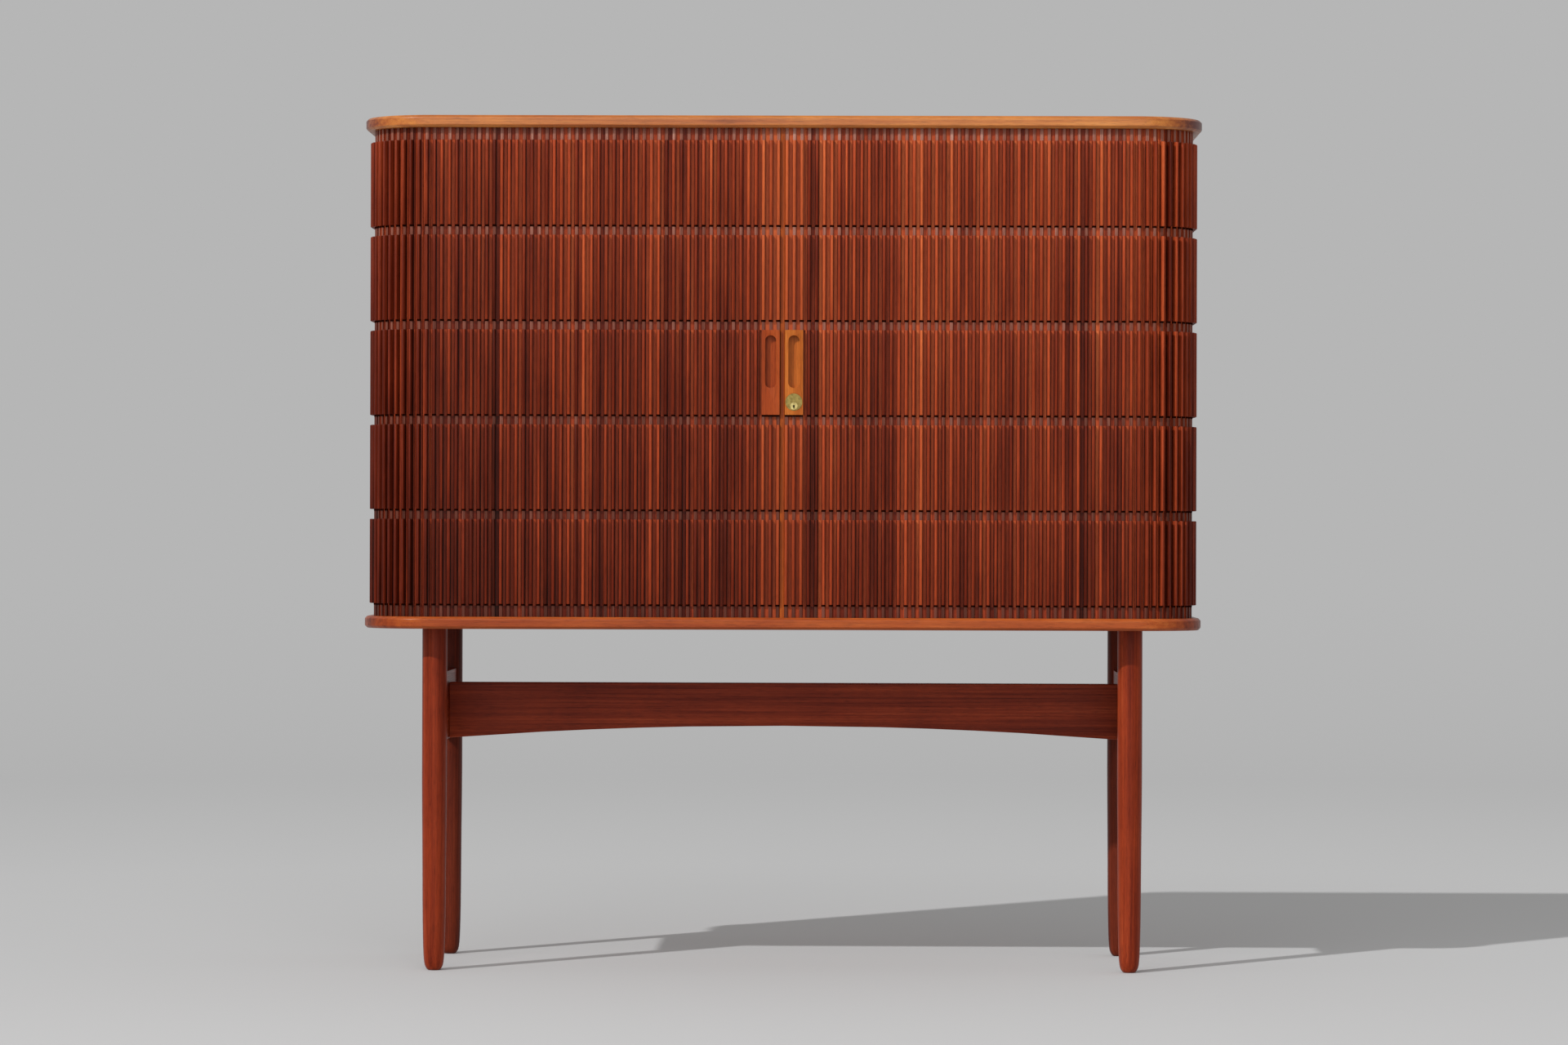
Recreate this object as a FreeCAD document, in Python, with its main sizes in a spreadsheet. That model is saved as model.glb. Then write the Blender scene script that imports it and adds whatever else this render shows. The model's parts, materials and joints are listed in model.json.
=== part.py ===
import FreeCAD, Part
import math
import os
import Sketcher

# Humidor cabinet on turned legs, closed by a pair of tambour doors of milled slats.
# X runs to the right, Y to the rear and Z up. The origin is on the floor, under the middle of the cabinet.

os.makedirs("parts", exist_ok=True)
doc = FreeCAD.newDocument("humidor_cabinet")
Vector = FreeCAD.Vector
X_AXIS = Vector(1, 0, 0)
Y_AXIS = Vector(0, 1, 0)
Z_AXIS = Vector(0, 0, 1)

# Driving dimensions, in millimetres, degrees or whole numbers
DRIVING = {
    # Cabinet
    "cabinet_width": 1180,
    "cabinet_depth": 450,
    "leg_length": 482,
    "slab_thickness": 17,
    "slab_corner_radius": 98,
    "slab_edge_bevel": 3.5,
    "opening_height": 684,
    # Tambour curtain, measured from the slab's edge inwards
    "curtain_setback": 6.5,
    "fin_depth": 8,
    "fin_width": 4.4,
    "slat_thickness": 3.6,
    "slat_gap": 0.2,
    "usual_slat_pitch": 10.5,
    "tongue_length": 5,
    "canvas_thickness": 0.6,
    "canvas_margin": 4,
    "glue_line": 0.1,
    # Rows of fins along each slat
    "fin_row_count": 5,
    "row_top_gap": 17,
    "row_bottom_gap": 18,
    "row_notch": 14,
    # Guide groove in the slabs
    "guide_depth": 6,
    "guide_clearance": 0.3,
    # Lead stiles
    "stile_reach": 32,
    "stile_thickness": 14.5,
    "seam_offset": 3.1,
    "seam_gap": 0.4,
    "stile_fin_count": 3,
    "stile_headroom": 0.5,
    "door_end_gap": 1,
    # Pull blocks
    "block_inset": 4,
    "block_fit": 0.1,
    "recess_width": 15.6,
    "recess_length": 73.5,
    "recess_depth": 9,
    "recess_top_margin": 7.5,
    # Lock
    "lock_radius": 11.8,
    "lock_height": 18,
    "lock_stand_out": 0.4,
    "lock_fit": 0.1,
    "plug_radius": 5.1,
    "plug_drop": 5.6,
    "plug_stand_out": 0.2,
    "plug_clearance": 0.05,
    "shank_width": 6,
    "keyway_radius": 1.4,
    "keyway_width": 1.6,
    "keyway_drop": 3.4,
    "keyway_depth": 6,
    "flange_thickness": 1.5,
    "flange_length": 36,
    "flange_width": 26,
    "hook_thickness": 2.5,
    "hook_gap": 0.5,
    "hook_arm_width": 14,
    "hook_arm_rise": 8,
    "hook_wall": 3,
    "hook_slot_clearance": 0.5,
    "hook_tip_angle": 12,
    "hook_slot_angle": 8,
    "hook_tail_angle": 16,
    "screw_radius": 5,
    "screw_thickness": 3,
    "strike_offset": 12,
    "strike_radius": 2.5,
    "strike_width": 16,
    "strike_length": 36,
    # Carcass
    "board_thickness": 12,
    "carcass_side_inset": 63,
    "carcass_front_inset": 30,
    "carcass_back_inset": 35,
    "carcass_back_thickness": 6,
    "divider_inset": 10,
    "lining_thickness": 6,
    # Shelves
    "shelf_count": 3,
    "shelf_thickness": 12,
    "shelf_front_inset": 15,
    "shelf_clearance": 1,
    "shelf_slot_count": 3,
    "shelf_slot_width": 16,
    "shelf_slot_margin": 45,
    "runner_thickness": 10,
    "runner_height": 18,
    "runner_inset": 30,
    # Outer back
    "back_thickness": 5,
    "back_overlap": 8,
    "back_clearance": 0.3,
    "back_wrap": 6,
    # Legs
    "leg_radius": 17.5,
    "leg_inset": 75,
    "leg_side_inset": 100.5,
    "leg_straight_top": 182,
    "foot_radius": 7,
    "ankle_radius": 12,
    "ankle_height": 30,
    "calf_radius": 15,
    "calf_height": 93,
    "calf_bulge": 0.4,
    "taper_bulge": 0.3,
    "joint_clearance": 0.1,
    # Base rails
    "rail_thickness": 19,
    "rail_height": 97,
    "rail_drop": 64,
    "rail_tenon_thickness": 9,
    "rail_tenon_length": 11,
    "rail_tenon_shoulder": 10,
    "stretcher_height": 80,
    "stretcher_drop": 80,
    "stretcher_arch": 18.5,
    "stretcher_tenon_length": 8,
    "stretcher_tenon_shoulder": 9,
    # How far a cutter runs past what it cuts
    "overrun": 5,
    # Climate
    "humidifier_width": 180,
    "humidifier_depth": 90,
    "humidifier_height": 46,
    "humidifier_wall": 2.5,
    "humidifier_slot_count": 5,
    "humidifier_slot_width": 8,
    "humidifier_slot_margin": 14,
    "hygrometer_width": 76,
    "hygrometer_height": 50,
    "hygrometer_depth": 16,
    "hygrometer_rim": 5,
    "hygrometer_recess": 3,
    "display_thickness": 1.5,
    "display_clearance": 0.2,
    "hygrometer_drop": 40,
}

# Sizes and places worked out from the driving dimensions
DERIVED = {
    "half_width": "cabinet_width / 2",
    "half_depth": "cabinet_depth / 2",
    "bottom_slab_base": "leg_length",
    "opening_base": "leg_length + slab_thickness",
    "opening_top": "opening_base + opening_height",
    "corner_x": "half_width - slab_corner_radius",
    "corner_y": "half_depth - slab_corner_radius",
    "tip_radius": "slab_corner_radius - curtain_setback",
    "face_radius": "tip_radius - fin_depth",
    "slat_radius": "face_radius - slat_thickness",
    "canvas_radius": "slat_radius - glue_line",
    "tip_y": "-(corner_y + tip_radius)",
    "face_y": "-(corner_y + face_radius)",
    "slat_back_y": "-(corner_y + slat_radius)",
    "canvas_y": "-(corner_y + canvas_radius)",
    "front_slat_count": "round((corner_x - stile_reach) / usual_slat_pitch)",
    "side_slat_count": "round(2 * corner_y / usual_slat_pitch)",
    "corner_slat_count": "round(pi / 2 * slat_radius / usual_slat_pitch)",
    "front_pitch": "(corner_x - stile_reach) / front_slat_count",
    "side_pitch": "2 * corner_y / side_slat_count",
    "corner_step": "90 / corner_slat_count",
    "corner_pitch": "pi / 2 * slat_radius / corner_slat_count",
    "fin_row_height": "(opening_height - row_top_gap - row_bottom_gap - (fin_row_count - 1) * row_notch)"
    " / fin_row_count",
    "fin_row_pitch": "fin_row_height + row_notch",
    "fin_base": "opening_base + row_bottom_gap",
    "slat_base": "opening_base - tongue_length",
    "slat_length": "opening_height + 2 * tongue_length",
    "block_base": "fin_base + (fin_row_count - 1) / 2 * fin_row_pitch",
    "block_inner": "stile_reach - (stile_fin_count - 0.5) * front_pitch - fin_width / 2",
    "block_outer": "stile_reach - 0.5 * front_pitch + fin_width / 2",
    "block_seat_y": "face_y + block_inset",
    "stile_back_y": "face_y + stile_thickness",
    "lock_x": "(block_inner + block_outer) / 2",
    "lock_z": "block_base + lock_height",
    "plug_z": "lock_z - plug_drop",
    "recess_top": "block_base + fin_row_height - recess_top_margin",
    "hook_y": "stile_back_y + flange_thickness + hook_gap",
    "hook_reach": "lock_x + strike_offset",
    "hook_slot_half": "strike_radius + hook_slot_clearance",
    "hook_inner": "hook_reach - hook_slot_half - hook_wall",
    "hook_outer": "hook_reach + hook_slot_half + hook_wall",
    "door_travel": "corner_x - stile_reach - door_end_gap",
    "carcass_front_y": "carcass_front_inset - half_depth",
    "carcass_back_y": "half_depth - carcass_back_inset",
    "carcass_half_width": "half_width - carcass_side_inset",
    "carcass_inner_x": "carcass_half_width - board_thickness",
    "divider_half": "board_thickness / 2",
    "shelf_front_y": "carcass_front_y + shelf_front_inset",
    "shelf_depth": "carcass_back_y - shelf_clearance - shelf_front_y",
    "shelf_width": "carcass_inner_x - divider_half - 2 * shelf_clearance",
    "shelf_pitch": "(opening_height - 2 * lining_thickness) / (shelf_count + 1)",
    "back_half_width": "corner_x + back_wrap",
    "leg_x": "half_width - leg_side_inset",
    "leg_y": "half_depth - leg_inset",
    "rail_top": "leg_length - rail_drop",
    "rail_base": "rail_top - rail_height",
    "rail_reach": "leg_y - leg_radius + rail_tenon_length",
    "stretcher_top": "leg_length - stretcher_drop",
    "stretcher_half": "leg_x - rail_thickness / 2",
}


def make_sheet(name, cells):
    """A spreadsheet with one aliased cell in column B for each size, and its name in column A."""
    sheet = doc.addObject("Spreadsheet::Sheet", name)
    for row, (alias, value) in enumerate(cells.items(), start=1):
        sheet.set(f"A{row}", alias)
        sheet.set(f"B{row}", str(value))
        sheet.setAlias(f"B{row}", alias)
    return sheet


def with_sheets(text):
    """An expression with each size's name led by the sheet that holds it."""
    words = []
    word = ""
    for letter in text + " ":
        if letter.isalnum() or letter == "_" or (letter == "." and word[:1].isdigit()):
            word += letter
            continue
        if word in DRIVING:
            word = "Sizes." + word
        elif word in DERIVED:
            word = "Layout." + word
        words.append(word + letter)
        word = ""
    return "".join(words).strip()


sizes = make_sheet("Sizes", DRIVING)
formulas = {alias: "=" + with_sheets(text).replace("Layout.", "") for alias, text in DERIVED.items()}
make_sheet("Layout", formulas)
doc.recompute()

PRECISION = 1e-6
nodes = []


def bind(item, **texts):
    """Bind the item's properties to expressions. Two underlines in a name stand for a full stop."""
    for name, text in texts.items():
        item.setExpression(name.replace("__", "."), with_sheets(text))


def at(item, x="0", y="0", z="0"):
    bind(item, Placement__Base__x=x, Placement__Base__y=y, Placement__Base__z=z)
    return item


def keep(item, label):
    """Name a finished sub-part, so that it is checked and written at the end."""
    item.Label = label
    nodes.append(item)
    return item


def box(name, x, y, z):
    """A block between two expressions along each axis."""
    block = doc.addObject("Part::Box", name)
    bind(block, Length=f"({x[1]}) - ({x[0]})", Width=f"({y[1]}) - ({y[0]})", Height=f"({z[1]}) - ({z[0]})")
    return at(block, x[0], y[0], z[0])


def spread(middle, size):
    """The two ends of a size that is centred on a place."""
    return f"({middle}) - ({size}) / 2", f"({middle}) + ({size}) / 2"


def rod(name, x, y, z, radius):
    """A round bar along Y, between two expressions."""
    bar = doc.addObject("Part::Cylinder", name)
    bind(bar, Radius=radius, Height=f"({y[1]}) - ({y[0]})")
    bar.Placement = FreeCAD.Placement(Vector(), FreeCAD.Rotation(X_AXIS, -90))
    return at(bar, x, y[0], z)


def post(name, x, y, z, radius, start=0, angle=360):
    """A round bar along Z, between two expressions, or a slice of one from a starting angle."""
    bar = doc.addObject("Part::Cylinder", name)
    bind(bar, Radius=radius, Height=f"({z[1]}) - ({z[0]})")
    bar.Angle = angle
    bar.Placement = FreeCAD.Placement(Vector(), FreeCAD.Rotation(Z_AXIS, start))
    return at(bar, x, y, z[0])


def cut(name, base, *tools):
    result = base
    for number, tool in enumerate(tools, start=1):
        step = doc.addObject("Part::Cut", f"{name}_{number}")
        step.Base = result
        step.Tool = tool
        result = step
    return result


def fuse(name, *pieces):
    result = doc.addObject("Part::MultiFuse", name)
    result.Shapes = list(pieces)
    result.Refine = True
    return result


def mirror(name, source, normal):
    """The twin of a sub-part on the other side of the middle plane that the normal stands on."""
    twin = doc.addObject("Part::Mirroring", name)
    twin.Source = source
    twin.Normal = normal
    return twin


def group(name, pieces):
    """Separate solids that share one node."""
    result = doc.addObject("Part::Compound", name)
    result.Links = pieces
    return result


def origin_part(body, role):
    return next(feature for feature in body.Origin.OriginFeatures if feature.Role == role)


def value(text):
    return float(sizes.evalExpression(with_sheets(text)))


def outline(body, name, plane, points, bulges=None):
    """A closed sketch through points that are bound to expressions. A side with a bulge is an arc."""
    bulges = bulges or {}
    sketch = body.newObject("Sketcher::SketchObject", name)
    sketch.AttachmentSupport = [(origin_part(body, plane), "")]
    sketch.MapMode = "FlatFace"
    start = [Vector(value(x), value(y)) for x, y in points]
    for i, point in enumerate(start):
        following = start[(i + 1) % len(start)]
        if i in bulges:
            run = following - point
            outward = Vector(run.y, -run.x).normalize() * value(bulges[i])
            sketch.addGeometry(Part.Arc(point, (point + following) / 2 + outward, following), False)
        else:
            sketch.addGeometry(Part.LineSegment(point, following), False)
    for i, (x, y) in enumerate(points):
        sketch.addConstraint(Sketcher.Constraint("Coincident", i, 2, (i + 1) % len(points), 1))
        across = sketch.addConstraint(Sketcher.Constraint("DistanceX", -1, 1, i, 1, start[i].x))
        upward = sketch.addConstraint(Sketcher.Constraint("DistanceY", -1, 1, i, 1, start[i].y))
        sketch.setExpression(f"Constraints[{across}]", with_sheets(x))
        sketch.setExpression(f"Constraints[{upward}]", with_sheets(y))
    for i, bulge in bulges.items():
        (x, y), (next_x, next_y) = points[i], points[i + 1]
        half_chord_squared = f"((({next_x}) - ({x})) ^ 2 + (({next_y}) - ({y})) ^ 2) / 4"
        radius = sketch.addConstraint(Sketcher.Constraint("Radius", i, sketch.Geometry[i].Radius))
        sketch.setExpression(
            f"Constraints[{radius}]", with_sheets(f"({half_chord_squared} + {bulge} ^ 2) / (2 * {bulge})")
        )
    return sketch


def rectangle(body, name, plane, x, y):
    return outline(body, name, plane, [(x[0], y[0]), (x[1], y[0]), (x[1], y[1]), (x[0], y[1])])


def pad(body, name, sketch, length, raised="0"):
    sketch.setExpression("AttachmentOffset.Base.z", with_sheets(raised))
    feature = body.newObject("PartDesign::Pad", name)
    feature.Profile = sketch
    bind(feature, Length=length)
    sketch.Visibility = False
    return feature


def pocket(body, name, sketch, depth, raised="0", reverse=False):
    sketch.setExpression("AttachmentOffset.Base.z", with_sheets(raised))
    feature = body.newObject("PartDesign::Pocket", name)
    feature.Profile = sketch
    feature.Reversed = reverse
    bind(feature, Length=depth)
    return feature


def in_line(body, name, axis, step, count, feature=None):
    """Repeat one feature along an axis, or the whole body where no feature is given."""
    pattern = body.newObject("PartDesign::LinearPattern", name)
    if feature:
        pattern.Originals = [feature]
    else:
        pattern.TransformMode = "Whole shape"
    pattern.Direction = (origin_part(body, axis), [""])
    bind(pattern, Length=f"({step}) * (({count}) - 1)", Occurrences=count)
    body.Tip = pattern
    return pattern


def round_corner(body, name, count):
    """Repeat the whole body about its own upright axis through the corner's quarter turn."""
    pattern = body.newObject("PartDesign::PolarPattern", name)
    pattern.TransformMode = "Whole shape"
    pattern.Axis = (origin_part(body, "Z_Axis"), [""])
    bind(pattern, Angle="90 - corner_step", Occurrences=count)
    body.Tip = pattern
    return pattern


def one_slat(name, middle, reach, pitch):
    """A slat with its fin, facing -Y, at a distance (reach) in front of the body's own origin."""
    body = doc.addObject("PartDesign::Body", name)
    blade = rectangle(
        body,
        f"{name}_blade_outline",
        "XY_Plane",
        spread(middle, f"({pitch}) - slat_gap"),
        (f"-(({reach}) + slat_radius)", f"-(({reach}) + face_radius)"),
    )
    pad(body, f"{name}_blade", blade, "slat_length")
    fin = rectangle(
        body,
        f"{name}_fin_outline",
        "XY_Plane",
        spread(middle, "fin_width"),
        (f"-(({reach}) + face_radius)", f"-(({reach}) + tip_radius)"),
    )
    pad(body, f"{name}_fin", fin, "opening_height - row_top_gap - row_bottom_gap", "fin_base - slat_base")
    doc.recompute()
    return body


def turned(body, degrees, x, y):
    body.Placement = FreeCAD.Placement(Vector(), FreeCAD.Rotation(Z_AXIS, 0))
    bind(body, Placement__Rotation__Angle=degrees)
    return at(body, x, y, "slat_base")


def curtain():
    """The slats of the right-hand curtain in four stretches, each mirrored for the left-hand one."""
    front = one_slat("right_front", "stile_reach + front_pitch / 2", "corner_y", "front_pitch")
    in_line(front, "right_front_row", "X_Axis", "front_pitch", "front_slat_count")
    at(front, z="slat_base")
    front_corner = one_slat("right_front_corner", "0", "0", "corner_pitch")
    round_corner(front_corner, "right_front_corner_row", "corner_slat_count")
    turned(front_corner, "corner_step / 2", "corner_x", "-corner_y")
    side = one_slat("right_side", "side_pitch / 2 - corner_y", "corner_x", "side_pitch")
    in_line(side, "right_side_row", "X_Axis", "side_pitch", "side_slat_count")
    turned(side, "90", "0", "0")
    rear_corner = one_slat("right_rear_corner", "0", "0", "corner_pitch")
    round_corner(rear_corner, "right_rear_corner_row", "corner_slat_count")
    turned(rear_corner, "90 + corner_step / 2", "corner_x", "corner_y")
    stretches = {"front": front, "front_corner": front_corner, "side": side, "rear_corner": rear_corner}
    for place, body in stretches.items():
        keep(body, f"right_{place}_slats")
        keep(mirror(f"left_{place}", body, X_AXIS), f"left_{place}_slats")


def canvas():
    """The cloth that the slats are glued to: a front stretch that moves, and the stretch round the side."""
    height = ("opening_base + canvas_margin", "opening_top - canvas_margin")
    front = box(
        "right_front_cloth", ("stile_reach", "corner_x"), ("canvas_y", "canvas_y + canvas_thickness"), height
    )
    side_face = "corner_x + canvas_radius"
    side_x = (f"{side_face} - canvas_thickness", side_face)
    side = box("right_side_cloth", side_x, ("-corner_y", "corner_y"), height)
    bends = []
    for place, y, turn in (("front", "-corner_y", -90), ("rear", "corner_y", 0)):
        name = f"right_{place}_bend"
        outer = post(f"{name}_outer", "corner_x", y, height, "canvas_radius", turn, 90)
        inner = post(f"{name}_inner", "corner_x", y, height, "canvas_radius - canvas_thickness")
        bends.append(cut(name, outer, inner))
    for place, cloth in (("front", front), ("side", fuse("right_cloth", side, *bends))):
        keep(cloth, f"right_{place}_canvas")
        keep(mirror(f"left_{place}_cloth", cloth, X_AXIS), f"left_{place}_canvas")


def rounded_board(name, inset, z):
    """A board with the cabinet's rounded outline, drawn in from its edge all round."""
    body = doc.addObject("PartDesign::Body", name)
    across = spread("0", f"cabinet_width - 2 * ({inset})")
    along = spread("0", f"cabinet_depth - 2 * ({inset})")
    sketch = rectangle(body, f"{name}_outline", "XY_Plane", across, along)
    board = pad(body, f"{name}_board", sketch, f"{z[1]} - ({z[0]})")
    doc.recompute()
    corners = body.newObject("PartDesign::Fillet", f"{name}_corners")
    corners.Base = (board, edges_along(board.Shape, Z_AXIS))
    bind(corners, Radius=f"slab_corner_radius - ({inset})")
    return at(body, z=z[0])


def edges_along(shape, axis):
    """The names of a shape's straight edges that run along an axis."""
    names = []
    for number, edge in enumerate(shape.Edges, start=1):
        straight = edge.Curve.TypeId == "Part::GeomLine"
        if straight and edge.tangentAt(edge.FirstParameter).cross(axis).Length < PRECISION:
            names.append(f"Edge{number}")
    return names


def level_edges(shape):
    """The names of a shape's edges that lie level, round its top and its underside."""
    names = []
    for number, edge in enumerate(shape.Edges, start=1):
        if edge.BoundBox.ZLength < PRECISION:
            names.append(f"Edge{number}")
    return names


def guide_ring(name, z):
    """The closed track that the slats' tongues run in."""
    outer = rounded_board(f"{name}_outer", "curtain_setback + fin_depth - guide_clearance", z)
    inner_inset = "curtain_setback + fin_depth + slat_thickness + guide_clearance"
    inner = rounded_board(f"{name}_inner", inner_inset, z)
    return cut(name, outer, inner)


def back_rebate(name, z):
    """The step in a slab's rear edge that the outer back is screwed into."""
    across = spread("0", "2 * (back_half_width + back_clearance)")
    depth = ("half_depth - back_thickness - 2 * back_clearance", "half_depth + overrun")
    return box(name, across, depth, z)


def slab(label, z, guide_z, rebate_z):
    """A round-cornered slab with eased edges, its guide groove and its rear rebate."""
    blank = rounded_board(f"{label}_blank", "0", z)
    doc.recompute()
    rounded = blank.Tip
    bevel = blank.newObject("PartDesign::Chamfer", f"{label}_bevel")
    bevel.Base = (rounded, level_edges(rounded.Shape))
    bind(bevel, Size="slab_edge_bevel")
    guide = guide_ring(f"{label}_guide", guide_z)
    keep(cut(f"{label}_cut", blank, guide, back_rebate(f"{label}_rebate", rebate_z)), label)


def slabs():
    slab(
        "top_slab",
        ("opening_top", "opening_top + slab_thickness"),
        ("opening_top - overrun", "opening_top + guide_depth"),
        ("opening_top - overrun", "opening_top + back_overlap + back_clearance"),
    )
    slab(
        "bottom_slab",
        ("leg_length", "opening_base"),
        ("opening_base - guide_depth", "opening_base + overrun"),
        ("opening_base - back_overlap - back_clearance", "opening_base + overrun"),
    )


def leg_profile(body):
    """Half of the leg's outline beside its axis: a coned foot, a bulged calf and taper, a straight top."""
    corners = [
        ("0", "0"),
        ("foot_radius", "0"),
        ("ankle_radius", "ankle_height"),
        ("calf_radius", "calf_height"),
        ("leg_radius", "leg_length - leg_straight_top"),
        ("leg_radius", "leg_length"),
        ("0", "leg_length"),
    ]
    ankle = corners.index(("ankle_radius", "ankle_height"))
    return outline(body, "leg_outline", "XZ_Plane", corners, {ankle: "calf_bulge", ankle + 1: "taper_bulge"})


# The lower and upper end of each kind of tenon
RAIL_TENON = ("rail_base + rail_tenon_shoulder", "rail_top - rail_tenon_shoulder")
STRETCHER_TENON = (
    "stretcher_top - stretcher_height + stretcher_tenon_shoulder",
    "stretcher_top - stretcher_tenon_shoulder",
)


def legs():
    """The front right leg, turned and then mortised for the side rail, and its three twins."""
    body = doc.addObject("PartDesign::Body", "leg_turning")
    turning = body.newObject("PartDesign::Revolution", "leg_turned")
    turning.Profile = leg_profile(body)
    turning.ReferenceAxis = (origin_part(body, "Z_Axis"), [""])
    turning.Angle = 360
    at(body, "leg_x", "-leg_y")
    mortise = box(
        "leg_mortise",
        spread("leg_x", "rail_tenon_thickness + 2 * joint_clearance"),
        ("-(rail_reach + joint_clearance)", "-(leg_y - leg_radius - overrun)"),
        (f"{RAIL_TENON[0]} - joint_clearance", f"{RAIL_TENON[1]} + joint_clearance"),
    )
    front_right = cut("leg", body, mortise)
    rear_right = mirror("rear_leg", front_right, Y_AXIS)
    keep(front_right, "leg_front_right")
    keep(rear_right, "leg_rear_right")
    keep(mirror("left_leg", front_right, X_AXIS), "leg_front_left")
    keep(mirror("left_rear_leg", rear_right, X_AXIS), "leg_rear_left")


def side_rails():
    """A rail between a front and a rear leg, its shoulders hollowed to the round legs."""
    height = ("rail_base", "rail_top")
    blank = box("rail_blank", spread("leg_x", "rail_thickness"), spread("0", "2 * leg_y"), height)
    scribes = [
        post(f"rail_scribe_{side}", "leg_x", f"{side}leg_y", height, "leg_radius + joint_clearance")
        for side in ("", "-")
    ]
    tenon_x = spread("leg_x", "rail_tenon_thickness")
    tenons = box("rail_tenons", tenon_x, spread("0", "2 * rail_reach"), RAIL_TENON)
    mortise = box(
        "rail_mortise",
        ("stretcher_half - overrun", "stretcher_half + stretcher_tenon_length + joint_clearance"),
        spread("0", "rail_tenon_thickness + 2 * joint_clearance"),
        (f"{STRETCHER_TENON[0]} - joint_clearance", f"{STRETCHER_TENON[1]} + joint_clearance"),
    )
    rail = cut("rail", fuse("rail_with_tenons", cut("rail_scribed", blank, *scribes), tenons), mortise)
    keep(rail, "side_rail_right")
    keep(mirror("left_rail", rail, X_AXIS), "side_rail_left")


def stretcher():
    """The long rail between the two side rails, arched below."""
    blank = box(
        "stretcher_blank",
        spread("0", "2 * stretcher_half"),
        spread("0", "rail_thickness"),
        ("stretcher_top - stretcher_height", "stretcher_top"),
    )
    radius = "(stretcher_half ^ 2 + stretcher_arch ^ 2) / (2 * stretcher_arch)"
    centre = f"stretcher_top - stretcher_height + stretcher_arch - {radius}"
    arch = rod("stretcher_arch_cut", "0", spread("0", "rail_thickness + 2 * overrun"), centre, radius)
    tenons = box(
        "stretcher_tenons",
        spread("0", "2 * (stretcher_half + stretcher_tenon_length)"),
        spread("0", "rail_tenon_thickness"),
        STRETCHER_TENON,
    )
    keep(fuse("stretcher_with_tenons", cut("stretcher_arched", blank, arch), cut_tenons(tenons)), "stretcher")


def cut_tenons(tenons):
    """Only the two ends of the long tenon blank, so that it doesn't fill the arch."""
    middle = box(
        "stretcher_tenon_gap",
        spread("0", "2 * (stretcher_half - stretcher_tenon_length)"),
        spread("0", "rail_thickness"),
        ("rail_base", "rail_top"),
    )
    return cut("stretcher_tenon_ends", tenons, middle)


def carcass():
    """The fixed inner box: two sides, a back, a divider and the cedar linings."""
    height = ("opening_base", "opening_top")
    depth = ("carcass_front_y", "carcass_back_y")
    side = box("carcass_board", ("carcass_inner_x", "carcass_half_width"), depth, height)
    keep(side, "carcass_side_right")
    keep(mirror("left_carcass_board", side, X_AXIS), "carcass_side_left")
    back_depth = ("carcass_back_y", "carcass_back_y + carcass_back_thickness")
    keep(box("carcass_back_board", spread("0", "2 * carcass_half_width"), back_depth, height), "carcass_back")
    divider_depth = ("carcass_front_y + divider_inset", "carcass_back_y")
    keep(box("divider_board", spread("0", "board_thickness"), divider_depth, height), "divider")
    across = ("divider_half", "carcass_inner_x")
    levels = {
        "floor_lining": ("opening_base", "opening_base + lining_thickness"),
        "ceiling_lining": ("opening_top - lining_thickness", "opening_top"),
    }
    for label, level in levels.items():
        right = box(f"{label}_right", across, divider_depth, level)
        keep(group(f"{label}_pair", [right, mirror(f"{label}_left", right, X_AXIS)]), label)


def shelf_level(number):
    """The height of a shelf's underside, counted from the floor of the cabinet."""
    return f"opening_base + lining_thickness + {number} * shelf_pitch - shelf_thickness"


def shelf(name, number):
    """A cedar shelf with long slots that let the damp air through."""
    body = doc.addObject("PartDesign::Body", name)
    board = rectangle(body, f"{name}_outline", "XY_Plane", ("0", "shelf_width"), ("0", "shelf_depth"))
    pad(body, f"{name}_board", board, "shelf_thickness")
    slot_pitch = "shelf_depth / (shelf_slot_count + 1)"
    slot = rectangle(
        body,
        f"{name}_slot_outline",
        "XY_Plane",
        ("shelf_slot_margin", "shelf_width - shelf_slot_margin"),
        spread(slot_pitch, "shelf_slot_width"),
    )
    opening = pocket(body, f"{name}_slot", slot, "shelf_thickness + overrun", reverse=True)
    in_line(body, f"{name}_slots", "Y_Axis", slot_pitch, "shelf_slot_count", opening)
    return at(body, "divider_half + shelf_clearance", "shelf_front_y", shelf_level(number))


def runners(number):
    """The two battens that carry a right-hand shelf."""
    level = shelf_level(number)
    depth = ("shelf_front_y + runner_inset", "carcass_back_y - runner_inset")
    places = {
        "inner": ("divider_half", "divider_half + runner_thickness"),
        "outer": ("carcass_inner_x - runner_thickness", "carcass_inner_x"),
    }
    return [
        box(f"runner_{number}_{place}", across, depth, (f"{level} - runner_height", level))
        for place, across in places.items()
    ]


def shelves():
    battens = []
    for number in range(1, round(sizes.shelf_count) + 1):
        right = shelf(f"right_shelf_board_{number}", number)
        keep(right, f"shelf_right_{number}")
        keep(mirror(f"left_shelf_board_{number}", right, X_AXIS), f"shelf_left_{number}")
        pair = runners(number)
        battens += pair
        battens += [mirror(f"{batten.Name}_twin", batten, X_AXIS) for batten in pair]
    keep(group("all_runners", battens), "shelf_runners")


def outer_back():
    across = spread("0", "2 * back_half_width")
    depth = ("half_depth - back_clearance - back_thickness", "half_depth - back_clearance")
    height = ("opening_base - back_overlap", "opening_top + back_overlap")
    keep(box("outer_back_board", across, depth, height), "back_panel")


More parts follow.
